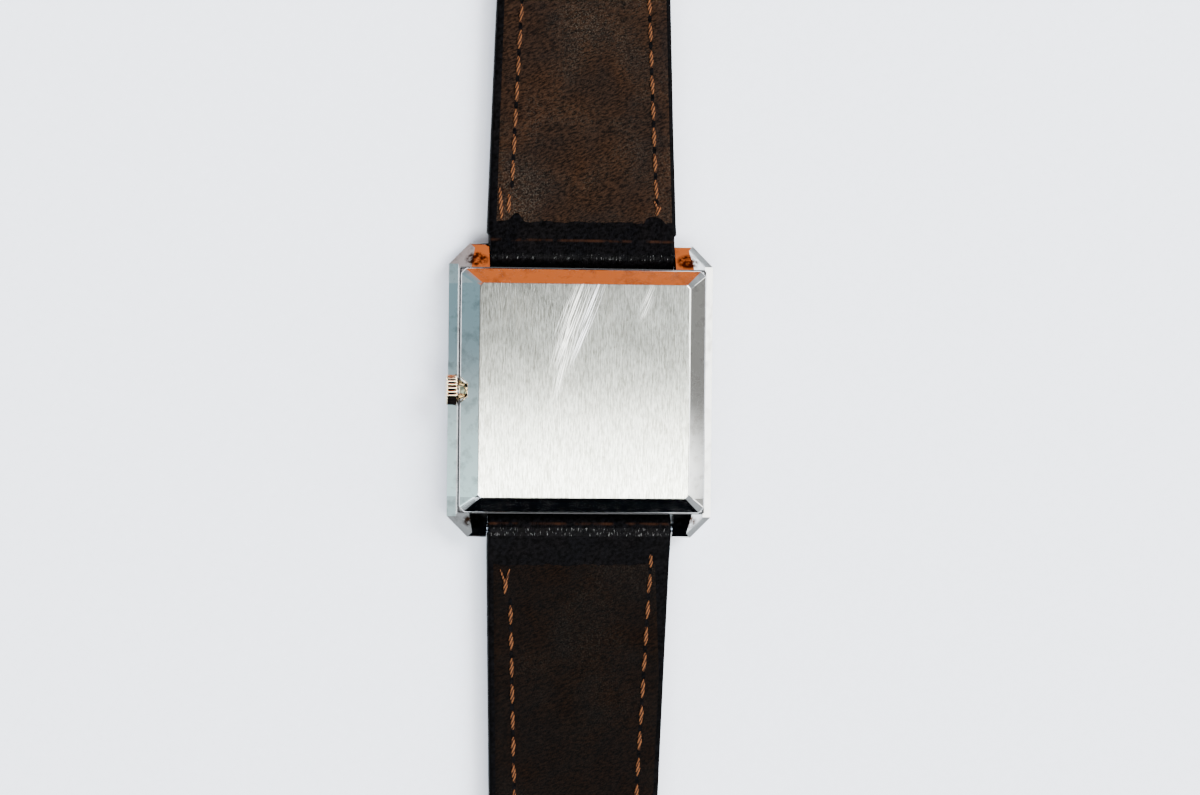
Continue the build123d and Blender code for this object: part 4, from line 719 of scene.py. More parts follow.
# polished steel worn by fingers: a soft mirror, its warm tint a painted reflection of warm light
CROWN_STEEL_WITH_WARM_REFLECTION = PolishedSteel("crown steel with painted warm reflection", colour="e3cfae", roughness=0.14)
# painted shade: near black, and so dull that it shows no light, on the crown's deep grooves and
# lower side
CROWN_PAINTED_SHADE = Coated("painted shade on the crown", "080504", roughness=0.9, shine=0.04)
# woven: pale and matt, with a weave drawn coarser than a real one so that it shows
COTTON = Coated("pale cotton", "eaeef6", roughness=0.9, mottle=0.03, grit=0.6, depth=0.02)


# Meshes


def finished(name: str, mesh: Form, materials: Sequence[Material], sharp: float = 35.0) -> Piece:
    """Turns a bmesh into an object whose normals point out and whose soft edges are smooth.

    Args:
        name: The piece's name.
        mesh: The bmesh, which is freed.
        materials: The materials of its faces, by index.
        sharp: Edges that turn by more than this many degrees stay sharp.

    Returns:
        The new object, linked to the scene.
    """
    bmesh.ops.remove_doubles(mesh, verts=mesh.verts, dist=1e-7)
    bmesh.ops.recalc_face_normals(mesh, faces=mesh.faces)
    data = bpy.data.meshes.new(name)
    mesh.to_mesh(data)
    mesh.free()
    data.shade_smooth()
    data.set_sharp_from_angle(angle=math.radians(sharp))
    for material in materials:
        data.materials.append(material)
    return linked(name, data)


def linked(name: str, data: bpy.types.ID) -> Piece:
    """Puts a mesh, a light or a camera in the scene as an object.

    Args:
        name: The object's name.
        data: What it shows.

    Returns:
        The object.
    """
    piece = bpy.data.objects.new(name, data)
    bpy.context.scene.collection.objects.link(piece)
    return piece


def beside(piece: Piece, node: str) -> None:
    """Lets an added piece ride on a node's body.

    Args:
        piece: The new piece.
        node: The node's name.
    """
    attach(piece, frame["nodes"][node]["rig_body"])


def in_place_of(piece: Piece, node: str) -> None:
    """Lets a piece ride on a node's body and stand for the node.

    Args:
        piece: The new piece.
        node: The node's name.
    """
    beside(piece, node)
    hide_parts(node)


def eased(name: str, node: str, width: float, materials: Sequence[Material],
          sharp: float = 24.0) -> Piece:
    """A copy of a CAD node whose sharp edges are rounded over as a polisher leaves them.

    Args:
        name: The new piece's name.
        node: The node that it stands for.
        width: The rounding, in mm.
        materials: Its materials by index.
        sharp: Edges that turn by more than this many degrees are rounded.

    Returns:
        The piece, riding on the node's body in its place.
    """
    mesh = bmesh.new()
    mesh.from_mesh(frame["nodes"][node].data)
    bmesh.ops.remove_doubles(mesh, verts=mesh.verts, dist=2e-6)
    bmesh.ops.dissolve_limit(mesh, angle_limit=math.radians(0.6), verts=mesh.verts,
                             edges=mesh.edges, delimit={"NORMAL"})
    piece = finished(name, mesh, materials, sharp=60.0)
    bevel = piece.modifiers.new("edges", "BEVEL")
    bevel.width = width * MM
    bevel.segments = 2
    bevel.limit_method = "ANGLE"
    bevel.angle_limit = math.radians(sharp)
    bevel.harden_normals = True
    weighted = piece.modifiers.new("facets", "WEIGHTED_NORMAL")
    weighted.keep_sharp = True
    in_place_of(piece, node)
    return piece


def paint_faces(piece: Piece, choose: Callable[[Vector, Vector], int]) -> None:
    """Gives each face of a piece one of its materials.

    Args:
        piece: The piece.
        choose: Takes a face's middle and normal, and returns the material's index.
    """
    for face in piece.data.polygons:
        face.material_index = choose(face.center, face.normal)


def cut_away(piece: Piece, tool: Form) -> None:
    """Cuts a closed shape out of a piece, and keeps its smooth shading.

    Args:
        piece: The piece.
        tool: The shape, which is freed.
    """
    data = bpy.data.meshes.new("tool")
    tool.to_mesh(data)
    tool.free()
    cutter = linked("tool", data)
    cut = piece.modifiers.new("cut", "BOOLEAN")
    cut.operation = "DIFFERENCE"
    cut.solver = "EXACT"
    cut.object = cutter
    shaped = bpy.data.meshes.new_from_object(
        piece.evaluated_get(bpy.context.evaluated_depsgraph_get()))
    piece.modifiers.remove(cut)
    piece.data = shaped
    bpy.data.objects.remove(cutter)
    shaped.shade_smooth()
    shaped.set_sharp_from_angle(angle=math.radians(35))


def peg(middle: Vector, axis: Along, radius: float, sides: int = 32, length: float = 30.0
        ) -> Form:
    """A closed round peg, for cutting a hole.

    Args:
        middle: Its middle, in metres.
        axis: The axis that it runs along.
        radius: Its radius in mm.
        sides: How many sides it has.
        length: Its length in mm.

    Returns:
        The peg as a bmesh.
    """
    turn = Matrix.Rotation(math.radians(axis.value), 4, "Y")
    mesh = bmesh.new()
    bmesh.ops.create_cone(mesh, cap_ends=True, segments=sides, radius1=radius * MM,
                          radius2=radius * MM, depth=length * MM,
                          matrix=Matrix.Translation(middle) @ turn)
    return mesh


def add_block(mesh: Form, middle: Vector, size: Sequence[float]) -> None:
    """Adds a closed block.

    Args:
        mesh: The bmesh that takes it.
        middle: Its middle, in metres.
        size: Its size along each axis, in metres.
    """
    bmesh.ops.create_cube(mesh, size=1.0, matrix=Matrix.Translation(middle)
                          @ Matrix.Diagonal((*size, 1)))


def stacked_rings(mesh: Form, sides: int, count: int
                  ) -> list[list[tuple[bmesh.types.BMVert, float]]]:
    """Adds a tube of rings that all still lie on one circle, to be moved into place.

    Args:
        mesh: The bmesh that takes it.
        sides: How many sides the tube has.
        count: How many rings it has.

    Returns:
        Each ring's vertices, with the angle at which each stands.
    """
    ring = bmesh.ops.create_circle(mesh, segments=sides, radius=1)["verts"]
    edges = list({edge for vertex in ring for edge in vertex.link_edges})
    rings = [ring]
    for _ in range(count - 1):
        out = bmesh.ops.extrude_edge_only(mesh, edges=edges)["geom"]
        edges = [item for item in out if isinstance(item, bmesh.types.BMEdge)]
        rings.append([item for item in out if isinstance(item, bmesh.types.BMVert)])
    return [sorted(((vertex, math.atan2(vertex.co.y, vertex.co.x)) for vertex in ring),
                   key=lambda pair: pair[1]) for ring in rings]


def close_ends(mesh: Form, rings: list[list[tuple[bmesh.types.BMVert, float]]]) -> None:
    """Closes the first and the last ring of a tube with a face each."""
    for ring in (rings[0], rings[-1]):
        bmesh.ops.contextual_create(mesh, geom=[vertex for vertex, _ in ring])


def two_skins(mesh: Form, columns: int, rows: int
              ) -> list[tuple[bmesh.types.BMVert, float, float, bool]]:
    """Adds two flat skins joined round their edges, to be moved into place.

    Args:
        mesh: The bmesh that takes them.
        columns: How many faces there are across.
        rows: How many there are along.

    Returns:
        Each vertex, its place across from -1 to 1 and along from 0 to 1, and whether it is on
        the second skin.
    """
    bmesh.ops.create_grid(mesh, x_segments=columns, y_segments=rows, size=1)
    first = set(mesh.verts)
    bmesh.ops.extrude_face_region(mesh, geom=list(mesh.faces))
    return [(vertex, vertex.co.x, (vertex.co.y + 1) / 2, vertex not in first)
            for vertex in mesh.verts]


def between(table: Table, place: float) -> float:
    """Reads a value from a table of (place, value) pairs, along straight lines.

    Args:
        table: The pairs, in order of place.
        place: Where to read.

    Returns:
        The value there, or the nearest end's.
    """
    if place <= table[0][0]:
        return table[0][1]
    for (near, low), (far, high) in zip(table, table[1:]):
        if place <= far:
            return low + (high - low) * (place - near) / (far - near)
    return table[-1][1]


# Strap


@dataclass
class StrapHalf:
    """One half of the strap, in its own coordinates: reach from the spring bar and across.

    The heights and widths are read off the CAD solids, so that the leather fills their space.
    """

    hour: str
    side: int
    end_y: float  # where the buckle's bar or the tip lies
    widths: Table  # the width at each reach
    heights: tuple[tuple[float, float, float], ...]  # a reach, and the front and back there
    left_band: Table  # the turned edge's width beside the lining, at each reach
    right_band: Table
    end_radius: float = 0.0
    end_height: float = 0.0
    lean: float = 0.0
    flap: float = 3.1
    loop_radius: float = 1.42
    edge_round: float = 0.3
    front_round: float = 0.95
    round_share: float = 0.4  # the most of its thickness that an edge's rounding may take
    left_inset: Table = ((3.0, 2.1), (25.0, 2.35))
    right_inset: Table = ((3.0, 1.85), (25.0, 2.15))
    ripple_size: float = 0.035
    settled_depth: float = 0.02
    # the columns of the leather's mesh: their insets at an edge, and their shares further in
    edge_columns: tuple[float, ...] = (0.0, 0.04, 0.12, 0.22, 0.32, 0.6, 1.0, 1.7)
    inner_columns: tuple[float, ...] = (-0.55, -0.27, 0.0)
    column_half: float = 9.0
    edge_zone: float = 2.0
    loop_turns: range = range(4, 90, 8)
    flap_steps: int = 14
    body_step: float = 0.8
    end_turns: range = range(-78, 87, 12)
    bar_y: float = field(init=False)
    bar_z: float = field(init=False)
    length: float = field(init=False)
    fronts: Table = field(init=False)
    backs: Table = field(init=False)

    def __post_init__(self) -> None:
        """Reads the place of the spring bar off the CAD model, and sorts the heights."""
        low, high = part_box(f"spring_bar_{self.hour}")
        self.bar_y = (low.y + high.y) / 2 / MM
        self.bar_z = (low.z + high.z) / 2 / MM
        self.length = abs(self.end_y - self.bar_y)
        top = (0.0, self.bar_z - self.loop_radius, self.bar_z + self.loop_radius)
        self.fronts = [(reach, front) for reach, front, _ in (top, *self.heights)]
        self.backs = [(reach, back) for reach, _, back in (top, *self.heights)]

    def half_width(self, reach: float) -> float:
        """Half the strap's width at a reach from the spring bar, in mm."""
        return between(self.widths, reach) / 2

    def faces_at(self, reach: float) -> tuple[float, float]:
        """The heights of the strap's two faces at a reach.

        Args:
            reach: The distance from the spring bar in mm, negative inside its loop.

        Returns:
            The heights of the face on the cloth and the face on the wrist's side, in mm.
        """
        if reach < 0:
            rise = math.sqrt(max(self.loop_radius**2 - reach**2, 0.0))
            return self.bar_z - rise, self.bar_z + rise
        past = reach - self.length
        if self.end_radius and past > -self.end_radius:
            rise = math.sqrt(max(self.end_radius**2 - max(past, 0.0) ** 2, 0.0))
            return self.end_height - rise, self.end_height + rise
        return between(self.fronts, reach), between(self.backs, reach)

    def reaches(self) -> list[float]:
        """Where the strap's cross-sections lie.

        Returns:
            Their reaches in mm, close together in the bends.
        """
        loop = [-self.loop_radius * math.cos(math.radians(turn)) for turn in self.loop_turns]
        flap = [step * self.flap / self.flap_steps for step in range(self.flap_steps)]
        body_end = self.length - self.end_radius
        count = round((body_end - self.flap) / self.body_step)
        body = [self.flap + step * (body_end - self.flap) / count for step in range(count + 1)]
        if not self.end_radius:
            return loop + flap + body
        end = [self.length + self.end_radius * math.sin(math.radians(turn))
               for turn in self.end_turns]
        return loop + flap + body[:-1] + end

    def place(self, across: float, reach: float, height: float) -> Vector:
        """A point on the strap in metres, from its own coordinates in mm."""
        slide = math.tan(math.radians(self.lean)) * max(reach, 0.0)
        return Vector((across - slide, self.bar_y + self.side * reach, height)) * MM

    def row_across(self, sign: int, reach: float) -> float:
        """Where the row of stitches on one side lies across the strap, in mm."""
        inset = between(self.left_inset if sign < 0 else self.right_inset, reach)
        return sign * (self.half_width(reach) - inset)

    def ripple(self, across: float, reach: float, settled: float = 1.0) -> float:
        """The leather's slow unevenness at a place, with the share that it has settled, in mm."""
        wave = noise.noise(Vector((across / 3.1, self.side * reach / 4.3, self.side * 7.7)))
        return self.ripple_size * wave - self.settled_depth * settled

    def drop(self, inset: float, radius: float, room: float) -> float:
        """How far a face has dropped at a distance in from the strap's edge.

        Args:
            inset: The distance from the edge in mm.
            radius: The edge's rounding in mm.
            room: The most that the face may drop.

        Returns:
            The drop in mm.
        """
        if inset >= radius:
            return 0.0
        return min(radius - math.sqrt(radius**2 - (radius - inset) ** 2), room)

    def body(self, leather: Material) -> Piece:
        """The outer leather over its filler: padded in front, turned over the edges behind.

        Args:
            leather: The black leather.

        Returns:
            The piece, in place of the CAD solid.
        """
        half = [-1 + inset / self.column_half for inset in self.edge_columns]
        half += self.inner_columns
        columns = half + [-share for share in reversed(half[:-1])]
        rows = self.reaches()
        mesh = bmesh.new()
        for vertex, across, along, is_front in two_skins(mesh, len(columns) - 1, len(rows) - 1):
            share = columns[round((across + 1) / 2 * (len(columns) - 1))]
            vertex.co = self.surface(share, rows[round(along * (len(rows) - 1))], is_front)
        return finished(f"leather_{self.hour}_outer", mesh, [leather])

    def surface(self, share: float, reach: float, is_front: bool) -> Vector:
        """A point of the outer leather's skin.

        Args:
            share: Across the strap, from -1 at one edge to 1 at the other.
            reach: From the spring bar in mm.
            is_front: Whether it is on the face on the cloth, and not on the wrist's side.

        Returns:
            The point in metres.
        """
        front, back = self.faces_at(reach)
        inset = (1 - abs(share)) * self.column_half
        width = self.half_width(reach)
        is_edge = inset < self.edge_zone
        across = math.copysign(width - inset, share) if is_edge else share * width
        room = (back - front) * self.round_share
        if is_front:
            return self.place(across, reach, front + self.drop(inset, self.front_round, room))
        settled = min(max(reach / self.flap, 0.0), 1.0)
        height = back - self.drop(inset, self.edge_round, room)
        return self.place(across, reach, height + self.ripple(across, reach, settled))


@dataclass(frozen=True)
class Stitch:
    """One visible length of thread, from hole to hole, in a strap half's coordinates in mm."""

    start: tuple[float, float]
    end: tuple[float, float]
    thick: float = 1.0


@dataclass
class StrapDressing:
    """What is sewn to one strap half: its lining, its stitches and the cuts through it."""

    half: StrapHalf
    lining_start: float
    row_starts: tuple[float, float]
    row_end: float
    ends: tuple[Stitch, ...]
    punched: Sequence[float] = ()
    lining_proud: float = 0.06
    lining_depth: float = 0.5
    lining_roll: float = 0.25
    lining_back: tuple[float, float] = (0.6, 0.3)  # off a cut tip, and off the buckle's loop
    lining_columns: int = 56
    lining_step: float = 0.6
    notch: float = 0.0
    notch_reach: tuple[float, float] = (0.6, 1.05)
    wave: float = 0.3
    pitch: float = 2.53
    stitch_share: float = 0.73
    stray: float = 0.1
    thread_radius: float = 0.235
    thread_rise: float = 0.2
    thread_sink: float = 0.55  # how deep it lies in the leather, as a share of its radius
    thread_twist: float = 0.8  # turns of its plies in a stitch
    thread_flat: float = 0.75
    thread_sides: int = 8
    thread_steps: int = 7
    # the size of the black disc that paints the shadow in each needle hole, across and along
    needle_hole: tuple[float, float] = (0.19, 0.42)
    shadow_lift: float = 0.012
    bar_bore: float = 0.8
    buckle_bore: float = 0.65
    tongue_slot: tuple[float, float] = (2.4, 3.9)
    punch_radius: float = 0.85

    def lining(self, leather: Material) -> Piece:
        """The lining: a thin sheet glued inside the turned edges, its end cut by hand.

        Args:
            leather: The brown leather.

        Returns:
            The piece, in place of the CAD solid.
        """
        half = self.half
        last = half.length - half.end_radius - self.lining_back[half.end_radius > 0]
        rows = round((last - self.lining_start) / self.lining_step)
        mesh = bmesh.new()
        for vertex, share, along, is_low in two_skins(mesh, self.lining_columns, rows):
            vertex.co = self.lining_point(share, along, last, is_low)
        return finished(f"leather_{half.hour}_lining", mesh, [leather], sharp=50)

    def lining_point(self, share: float, along: float, last: float, is_low: bool) -> Vector:
        """A point of the lining.

        Args:
            share: Across it, from -1 to 1.
            along: Along it, from 0 to 1.
            last: The reach of its far end in mm.
            is_low: Whether it is on the glued side.

        Returns:
            The point in metres.
        """
        half = self.half
        start = self.lining_start + self.start_shape(share)
        reach = start + (last - start) * along
        width = half.half_width(reach)
        across = share * (width - between(half.left_band if share < 0 else half.right_band, reach))
        back = half.faces_at(reach)[1]
        if is_low:
            return half.place(across, reach, back - self.lining_depth)
        from_edge = min((1 - abs(share)) * width, (reach - start) * 1.4 + 0.02)
        lift = self.lining_proud * min(from_edge / self.lining_roll, 1.0) ** 0.5
        return half.place(across, reach, back + lift + half.ripple(across, reach))

    def start_shape(self, share: float) -> float:
        """How far the lining's cut edge stands back.

        Args:
            share: Across the lining, from -1 to 1.

        Returns:
            The distance in mm: the knife's waver, and the notch round each row of stitches.
        """
        half = self.half
        wave = noise.noise(Vector((share * 3.7, half.side * 2.3, 0.4))) * self.wave
        wave += noise.noise(Vector((share * 16.0, half.side * 5.1, 3.4))) * self.wave * 0.5
        sign = -1 if share < 0 else 1
        off = share * half.half_width(self.lining_start) - half.row_across(sign, self.lining_start)
        reach = self.notch_reach[share >= 0]
        return wave + self.notch * math.sqrt(max(1 - (off / reach) ** 2, 0.0))

    def rows(self) -> list[Stitch]:
        """The stitches of both rows, each leaning a little its own way.

        Returns:
            The stitches of the left row and then of the right row.
        """
        found = []
        for sign, start in zip((-1, 1), self.row_starts):
            reach = start
            while reach + self.pitch < self.row_end:
                spot = Vector((reach * 1.7, sign * 3.0, self.half.side * 2.0))
                off = noise.noise(spot) * self.stray
                stretch = 1 + self.stray * noise.noise(Vector((reach * 2.9, sign, self.half.side)))
                end = reach + self.pitch * self.stitch_share * stretch
                found.append(Stitch((self.half.row_across(sign, reach) + off, reach),
                                    (self.half.row_across(sign, end) - off, end)))
                reach += self.pitch
        return found

    def stitches(self, thread: Material) -> Piece:
        """Both rows of stitches on both faces, and the way that the thread was tied off.

        Args:
            thread: The thread's material.

        Returns:
            The piece.
        """
        mesh = bmesh.new()
        for stitch in self.rows():
            for is_front in (False, True):
                self.stitch(mesh, stitch, is_front)
        for stitch in self.ends:
            self.stitch(mesh, stitch, False)
        return finished(f"stitches_{self.half.hour}", mesh, [thread], sharp=80)

    def stitch(self, mesh: Form, stitch: Stitch, is_front: bool) -> None:
        """Adds one stitch, which rises out of its hole and dives into the next.

        Args:
            mesh: The bmesh that takes it.
            stitch: The stitch.
            is_front: Whether it is on the face on the cloth.
        """
        half = self.half
        radius = self.thread_radius * stitch.thick
        rings = stacked_rings(mesh, self.thread_sides, self.thread_steps + 1)
        for step, ring in enumerate(rings):
            share = step / self.thread_steps
            here = stitch.start[1] + (stitch.end[1] - stitch.start[1]) * share
            middle = stitch.start[0] + (stitch.end[0] - stitch.start[0]) * share
            swell = math.sin(math.pi * min(max(share, 0.05), 0.95)) ** 0.45
            proud = self.thread_rise * swell - radius * self.thread_sink
            height = half.faces_at(here)[0] - proud if is_front else self.skin(middle, here) + proud
            twist = share * math.tau * self.thread_twist + stitch.start[1]
            for vertex, angle in ring:
                lobes = radius * swell * (0.82 + 0.2 * abs(math.cos(angle)))
                out, up = lobes * math.cos(angle + twist), lobes * math.sin(angle + twist)
                vertex.co = half.place(middle + out, here, height + up * self.thread_flat)
        close_ends(mesh, rings)

    def skin(self, across: float, reach: float) -> float:
        """The height of the sewn face at a place, in mm: the lining's, or the bare flap's."""
        proud = self.lining_proud if reach > self.lining_start else 0.0
        return self.half.faces_at(reach)[1] + proud + self.half.ripple(across, reach)

    def needle_hole_shadows(self, leather: Material) -> Piece:
        """Painted shadows in the needle holes between stitches, where the thread pulls the leather
        down: black discs laid just over the skin.

        Args:
            leather: The black leather.

        Returns:
            The piece.
        """
        mesh = bmesh.new()
        half = self.half
        for stitch in self.rows():
            middle = stitch.start[1] - self.pitch * (1 - self.stitch_share) / 2
            row = half.row_across(-1 if stitch.start[0] < 0 else 1, middle)
            spot = bmesh.ops.create_circle(mesh, cap_ends=True, segments=10, radius=1)["verts"]
            for vertex in spot:
                across = row + vertex.co.x * self.needle_hole[0]
                reach = middle + vertex.co.y * self.needle_hole[1]
                vertex.co = half.place(across, reach, self.skin(across, reach) + self.shadow_lift)
        return finished(f"needle_hole_shadows_{half.hour}", mesh, [leather])

    def cut(self, body: Piece, lining: Piece) -> None:
        """Cuts the bores of the bars, the tongue's slot and the punched holes.

        Args:
            body: The outer leather.
            lining: The lining.
        """
        half = self.half
        cut_away(body, peg(half.place(0, 0, half.bar_z), Along.X, self.bar_bore))
        if half.end_radius:
            bar = half.place(0, half.length, half.end_height)
            cut_away(body, peg(bar, Along.X, self.buckle_bore))
        for piece in (body, lining):
            if half.end_radius:
                width, reach = self.tongue_slot
                end = half.length + half.end_radius
                low = half.place(-width / 2, end - reach, -1)
                high = half.place(width / 2, end + 1, 6)
                slot = bmesh.new()
                add_block(slot, (low + high) / 2, high - low)
                cut_away(piece, slot)
            for reach in self.punched:
                hole = peg(half.place(0, reach, 1.0), Along.Z, self.punch_radius, sides=24)
                cut_away(piece, hole)


@dataclass
class Strap:
    """Both halves of the leather strap, its keepers and its pin buckle."""

    black: Material
    brown: Material
    thread: Material
    steel: Material
    first_hole: float = 22.0
    hole_pitch: float = 6.5
    hole_count: int = 7
    keeper_round: float = 0.22
    buckle_round: float = 0.12

    def build(self) -> None:
        """Builds both halves, the keepers and the buckle."""
        for dressing in (self.short(), self.long()):
            half = dressing.half
            body = half.body(self.black)
            lining = dressing.lining(self.brown)
            dressing.cut(body, lining)
            in_place_of(body, f"strap_{half.hour}_outer")
            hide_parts(f"strap_{half.hour}_filler")
            in_place_of(lining, f"strap_{half.hour}_lining")
            beside(dressing.stitches(self.thread), f"strap_{half.hour}_outer")
            # the painted shadows of the needle holes
            beside(dressing.needle_hole_shadows(self.black), f"strap_{half.hour}_outer")
            log.info("strap half at %s: %d mm long", half.hour, round(half.length))
        for keeper in ("keeper_fixed", "keeper_free"):
            eased(f"leather_{keeper}", keeper, self.keeper_round, [self.black],
                  sharp=30)
        eased("buckle", "buckle_frame", self.buckle_round, [self.steel])
        eased("buckle_pin", "buckle_tongue", self.buckle_round, [self.steel])
        log.info("keepers and buckle")

    def short(self) -> StrapDressing:
        """The half at 12 o'clock, which turns round the buckle's bar.

        Returns:
            The half and its dressing, with the thread tied off beside the case.
        """
        low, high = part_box("buckle_bar")
        half = StrapHalf(
            "12", 1, (low.y + high.y) / 2 / MM,
            ((-1.42, 17.9), (1.9, 17.9), (1.95, 18.3), (37.0, 16.0), (72.9, 16.0)),
            ((3.1, 0.12, 2.55), (12.0, 0.0, 2.3), (37.0, 0.75, 2.6), (72.0, 0.75, 2.6)),
            left_band=((3.0, 0.8), (40.0, 0.6)), right_band=((3.0, 0.4), (40.0, 0.5)),
            end_radius=0.925, end_height=1.675)
        left, right = -half.row_across(1, 5.0) - 0.1, half.row_across(1, 4.3)
        tied_off = (Stitch((left - 0.75, 6.3), (left - 0.55, 3.2)),
                    Stitch((left + 0.15, 5.7), (left + 0.1, 3.9)),
                    Stitch((right + 0.3, 4.75), (right - 0.05, 3.85), 1.15),
                    Stitch((right - 0.3, 5.3), (right + 0.15, 4.3), 0.6))
        return StrapDressing(half, 3.1, (7.0, 5.45), 64.0, tied_off, notch=0.75)

    def long(self) -> StrapDressing:
        """The half at 6 o'clock, which tapers to its tip.

        Returns:
            The half and its dressing, with the thread frayed beside the case.
        """
        half = StrapHalf(
            "6", -1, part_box("strap_6_outer")[0].y / MM,
            ((-1.42, 17.7), (1.9, 17.7), (32.0, 16.0), (103.0, 16.0), (106.5, 13.8),
             (109.0, 10.0), (111.2, 5.0), (112.0, 2.0)),
            ((3.1, 0.12, 2.55), (12.0, 0.0, 2.3), (60.0, 0.0, 2.0), (112.0, 0.0, 1.7)),
            left_band=((3.0, 0.55), (40.0, 0.6)), right_band=((4.0, 1.35), (14.0, 0.5)), lean=0.5)
        left, right = -half.row_across(1, 5.0) - 0.2, half.row_across(1, 3.0)
        frayed = (Stitch((left, 6.4), (left + 0.05, 4.9)),
                  Stitch((left - 0.05, 5.3), (left - 0.5, 4.05), 0.5),
                  Stitch((left + 0.05, 5.3), (left + 0.4, 4.0), 0.5),
                  Stitch((right, 2.55), (right, 3.8)))
        holes = [half.length - self.first_hole - hole * self.hole_pitch
                 for hole in range(self.hole_count)]
        return StrapDressing(half, 3.55, (7.5, 4.45), 104.0, frayed, holes)


# Case


@dataclass
class Case:
    """The steel case: frame, pressed-on back, crown and crystal."""

    polished: Material
    brushed: Material
    crown_steel_with_warm_reflection: Material
    glass: Material
    rubber: Material
    # the near-black material of the crown's painted shade
    grime: Material
    frame_round: float = 0.05
    back_round: float = 0.1
    tube_round: float = 0.03
    brushed_depth: float = 0.2  # how far under the top a face of the back is still brushed
    flutes: int = 24
    flute_sides: int = 8
    flute_depth: float = 0.22
    crown_round: float = 0.12
    seam_width: float = 0.24
    seam_height: float = 0.03
    seam_drop: float = 0.02
    # how deep in a groove, and how far down the crown, the painted shade starts
    shaded_groove_share: float = 0.42
    shaded_below_share: float = 0.42

    def build(self) -> None:
        """Builds and dresses the case's pieces."""
        eased("case", "case_frame", self.frame_round, [self.polished])
        back = eased("back", "case_back", self.back_round, [self.polished, self.brushed])
        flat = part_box("case_back")[1].z - self.brushed_depth * MM
        paint_faces(back, lambda middle, normal: int(normal.z > 0.9 and middle.z > flat))
        # the tube and the crown take the steel tinted with a painted warm reflection
        eased("tube", "crown_tube", self.tube_round, [self.crown_steel_with_warm_reflection])
        self.crown()
        self.seam()
        eased("watch_glass", "crystal", self.frame_round, [self.glass])
        log.info("case, back, crown and glass")

    def seam(self) -> None:
        """Lays the dark line of the squeezed gasket round the foot of the back."""
        low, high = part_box("case_back")
        foot = low.z - self.seam_drop * MM
        width, height = self.seam_width * MM, self.seam_height * MM
        mesh = bmesh.new()
        for side in (-1, 1):
            add_block(mesh, Vector((side * high.x, 0, foot)), (width, 2 * high.y, height))
            add_block(mesh, Vector((0, side * high.y, foot)), (2 * high.x, width, height))
        beside(finished("back_seam", mesh, [self.rubber]), "case_back_gasket")

    def crown(self) -> None:
        """Turns the fluted winding crown, domed at its outer end, in place of the CAD solid."""
        low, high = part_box("crown")
        middle = Vector((0, (low.y + high.y) / 2, (low.z + high.z) / 2))
        radius = (high.z - low.z) / 2
        turn = Matrix.Rotation(math.pi / 2, 4, "Y")
        depth = self.flute_depth * MM
        ease = self.crown_round * MM
        # from the face by the case to the domed end: (place along, radius taken off, flutes share)
        profile = ((high.x, ease, 0.0),
                   (high.x - ease * 0.4, ease * 0.2, 1.0),
                   (high.x - ease, 0.0, 1.0),
                   (low.x + ease * 1.4, 0.0, 1.0),
                   (low.x + ease * 0.9, ease * 0.1, 1.0),
                   (low.x + ease * 0.35, ease * 0.9, 0.3),
                   (low.x + ease * 0.15, ease * 1.9, 0.0),
                   (low.x, radius * 0.55, 0.0))
        mesh = bmesh.new()
        rings = stacked_rings(mesh, self.flutes * self.flute_sides, len(profile))
        for ring, (along, taken, fluted) in zip(rings, profile):
            for vertex, angle in ring:
                groove = (0.5 + 0.5 * math.cos(self.flutes * angle)) ** 2.2
                reach = radius - taken - depth * groove * fluted
                spot = Vector((math.cos(angle), math.sin(angle), 0)) * reach
                vertex.co = turn @ spot + middle + Vector((along, 0, 0))
        close_ends(mesh, rings)
        piece = finished("winding_crown", mesh, [self.crown_steel_with_warm_reflection, self.grime], sharp=50)
        # painted shade: the deep faces of the grooves and the faces on the crown's lower side take
        # the near-black material
        floor = radius - depth * self.shaded_groove_share
        paint_faces(piece, lambda spot, normal: int(
            low.x + ease < spot.x < high.x - ease and abs(normal.x) < 0.3
            and math.hypot(spot.y - middle.y, spot.z - middle.z) < floor
            or abs(normal.x) < 0.7 and spot.y < middle.y - radius * self.shaded_below_share))
        in_place_of(piece, "crown")


# Stage


@dataclass(frozen=True)
class Panel:
    """A soft panel of the sky: where it is, and its inner and outer reach in degrees."""

    toward: tuple[float, float, float]
    inner: float
    outer: float
    tone: str
    power: float = 1.0


@dataclass(frozen=True)
class Lamp:
    """A square lamp that points at the watch, its place and size in metres."""

    name: str
    place: tuple[float, float, float]
    power: float
    tone: str
    size: float = 0.5


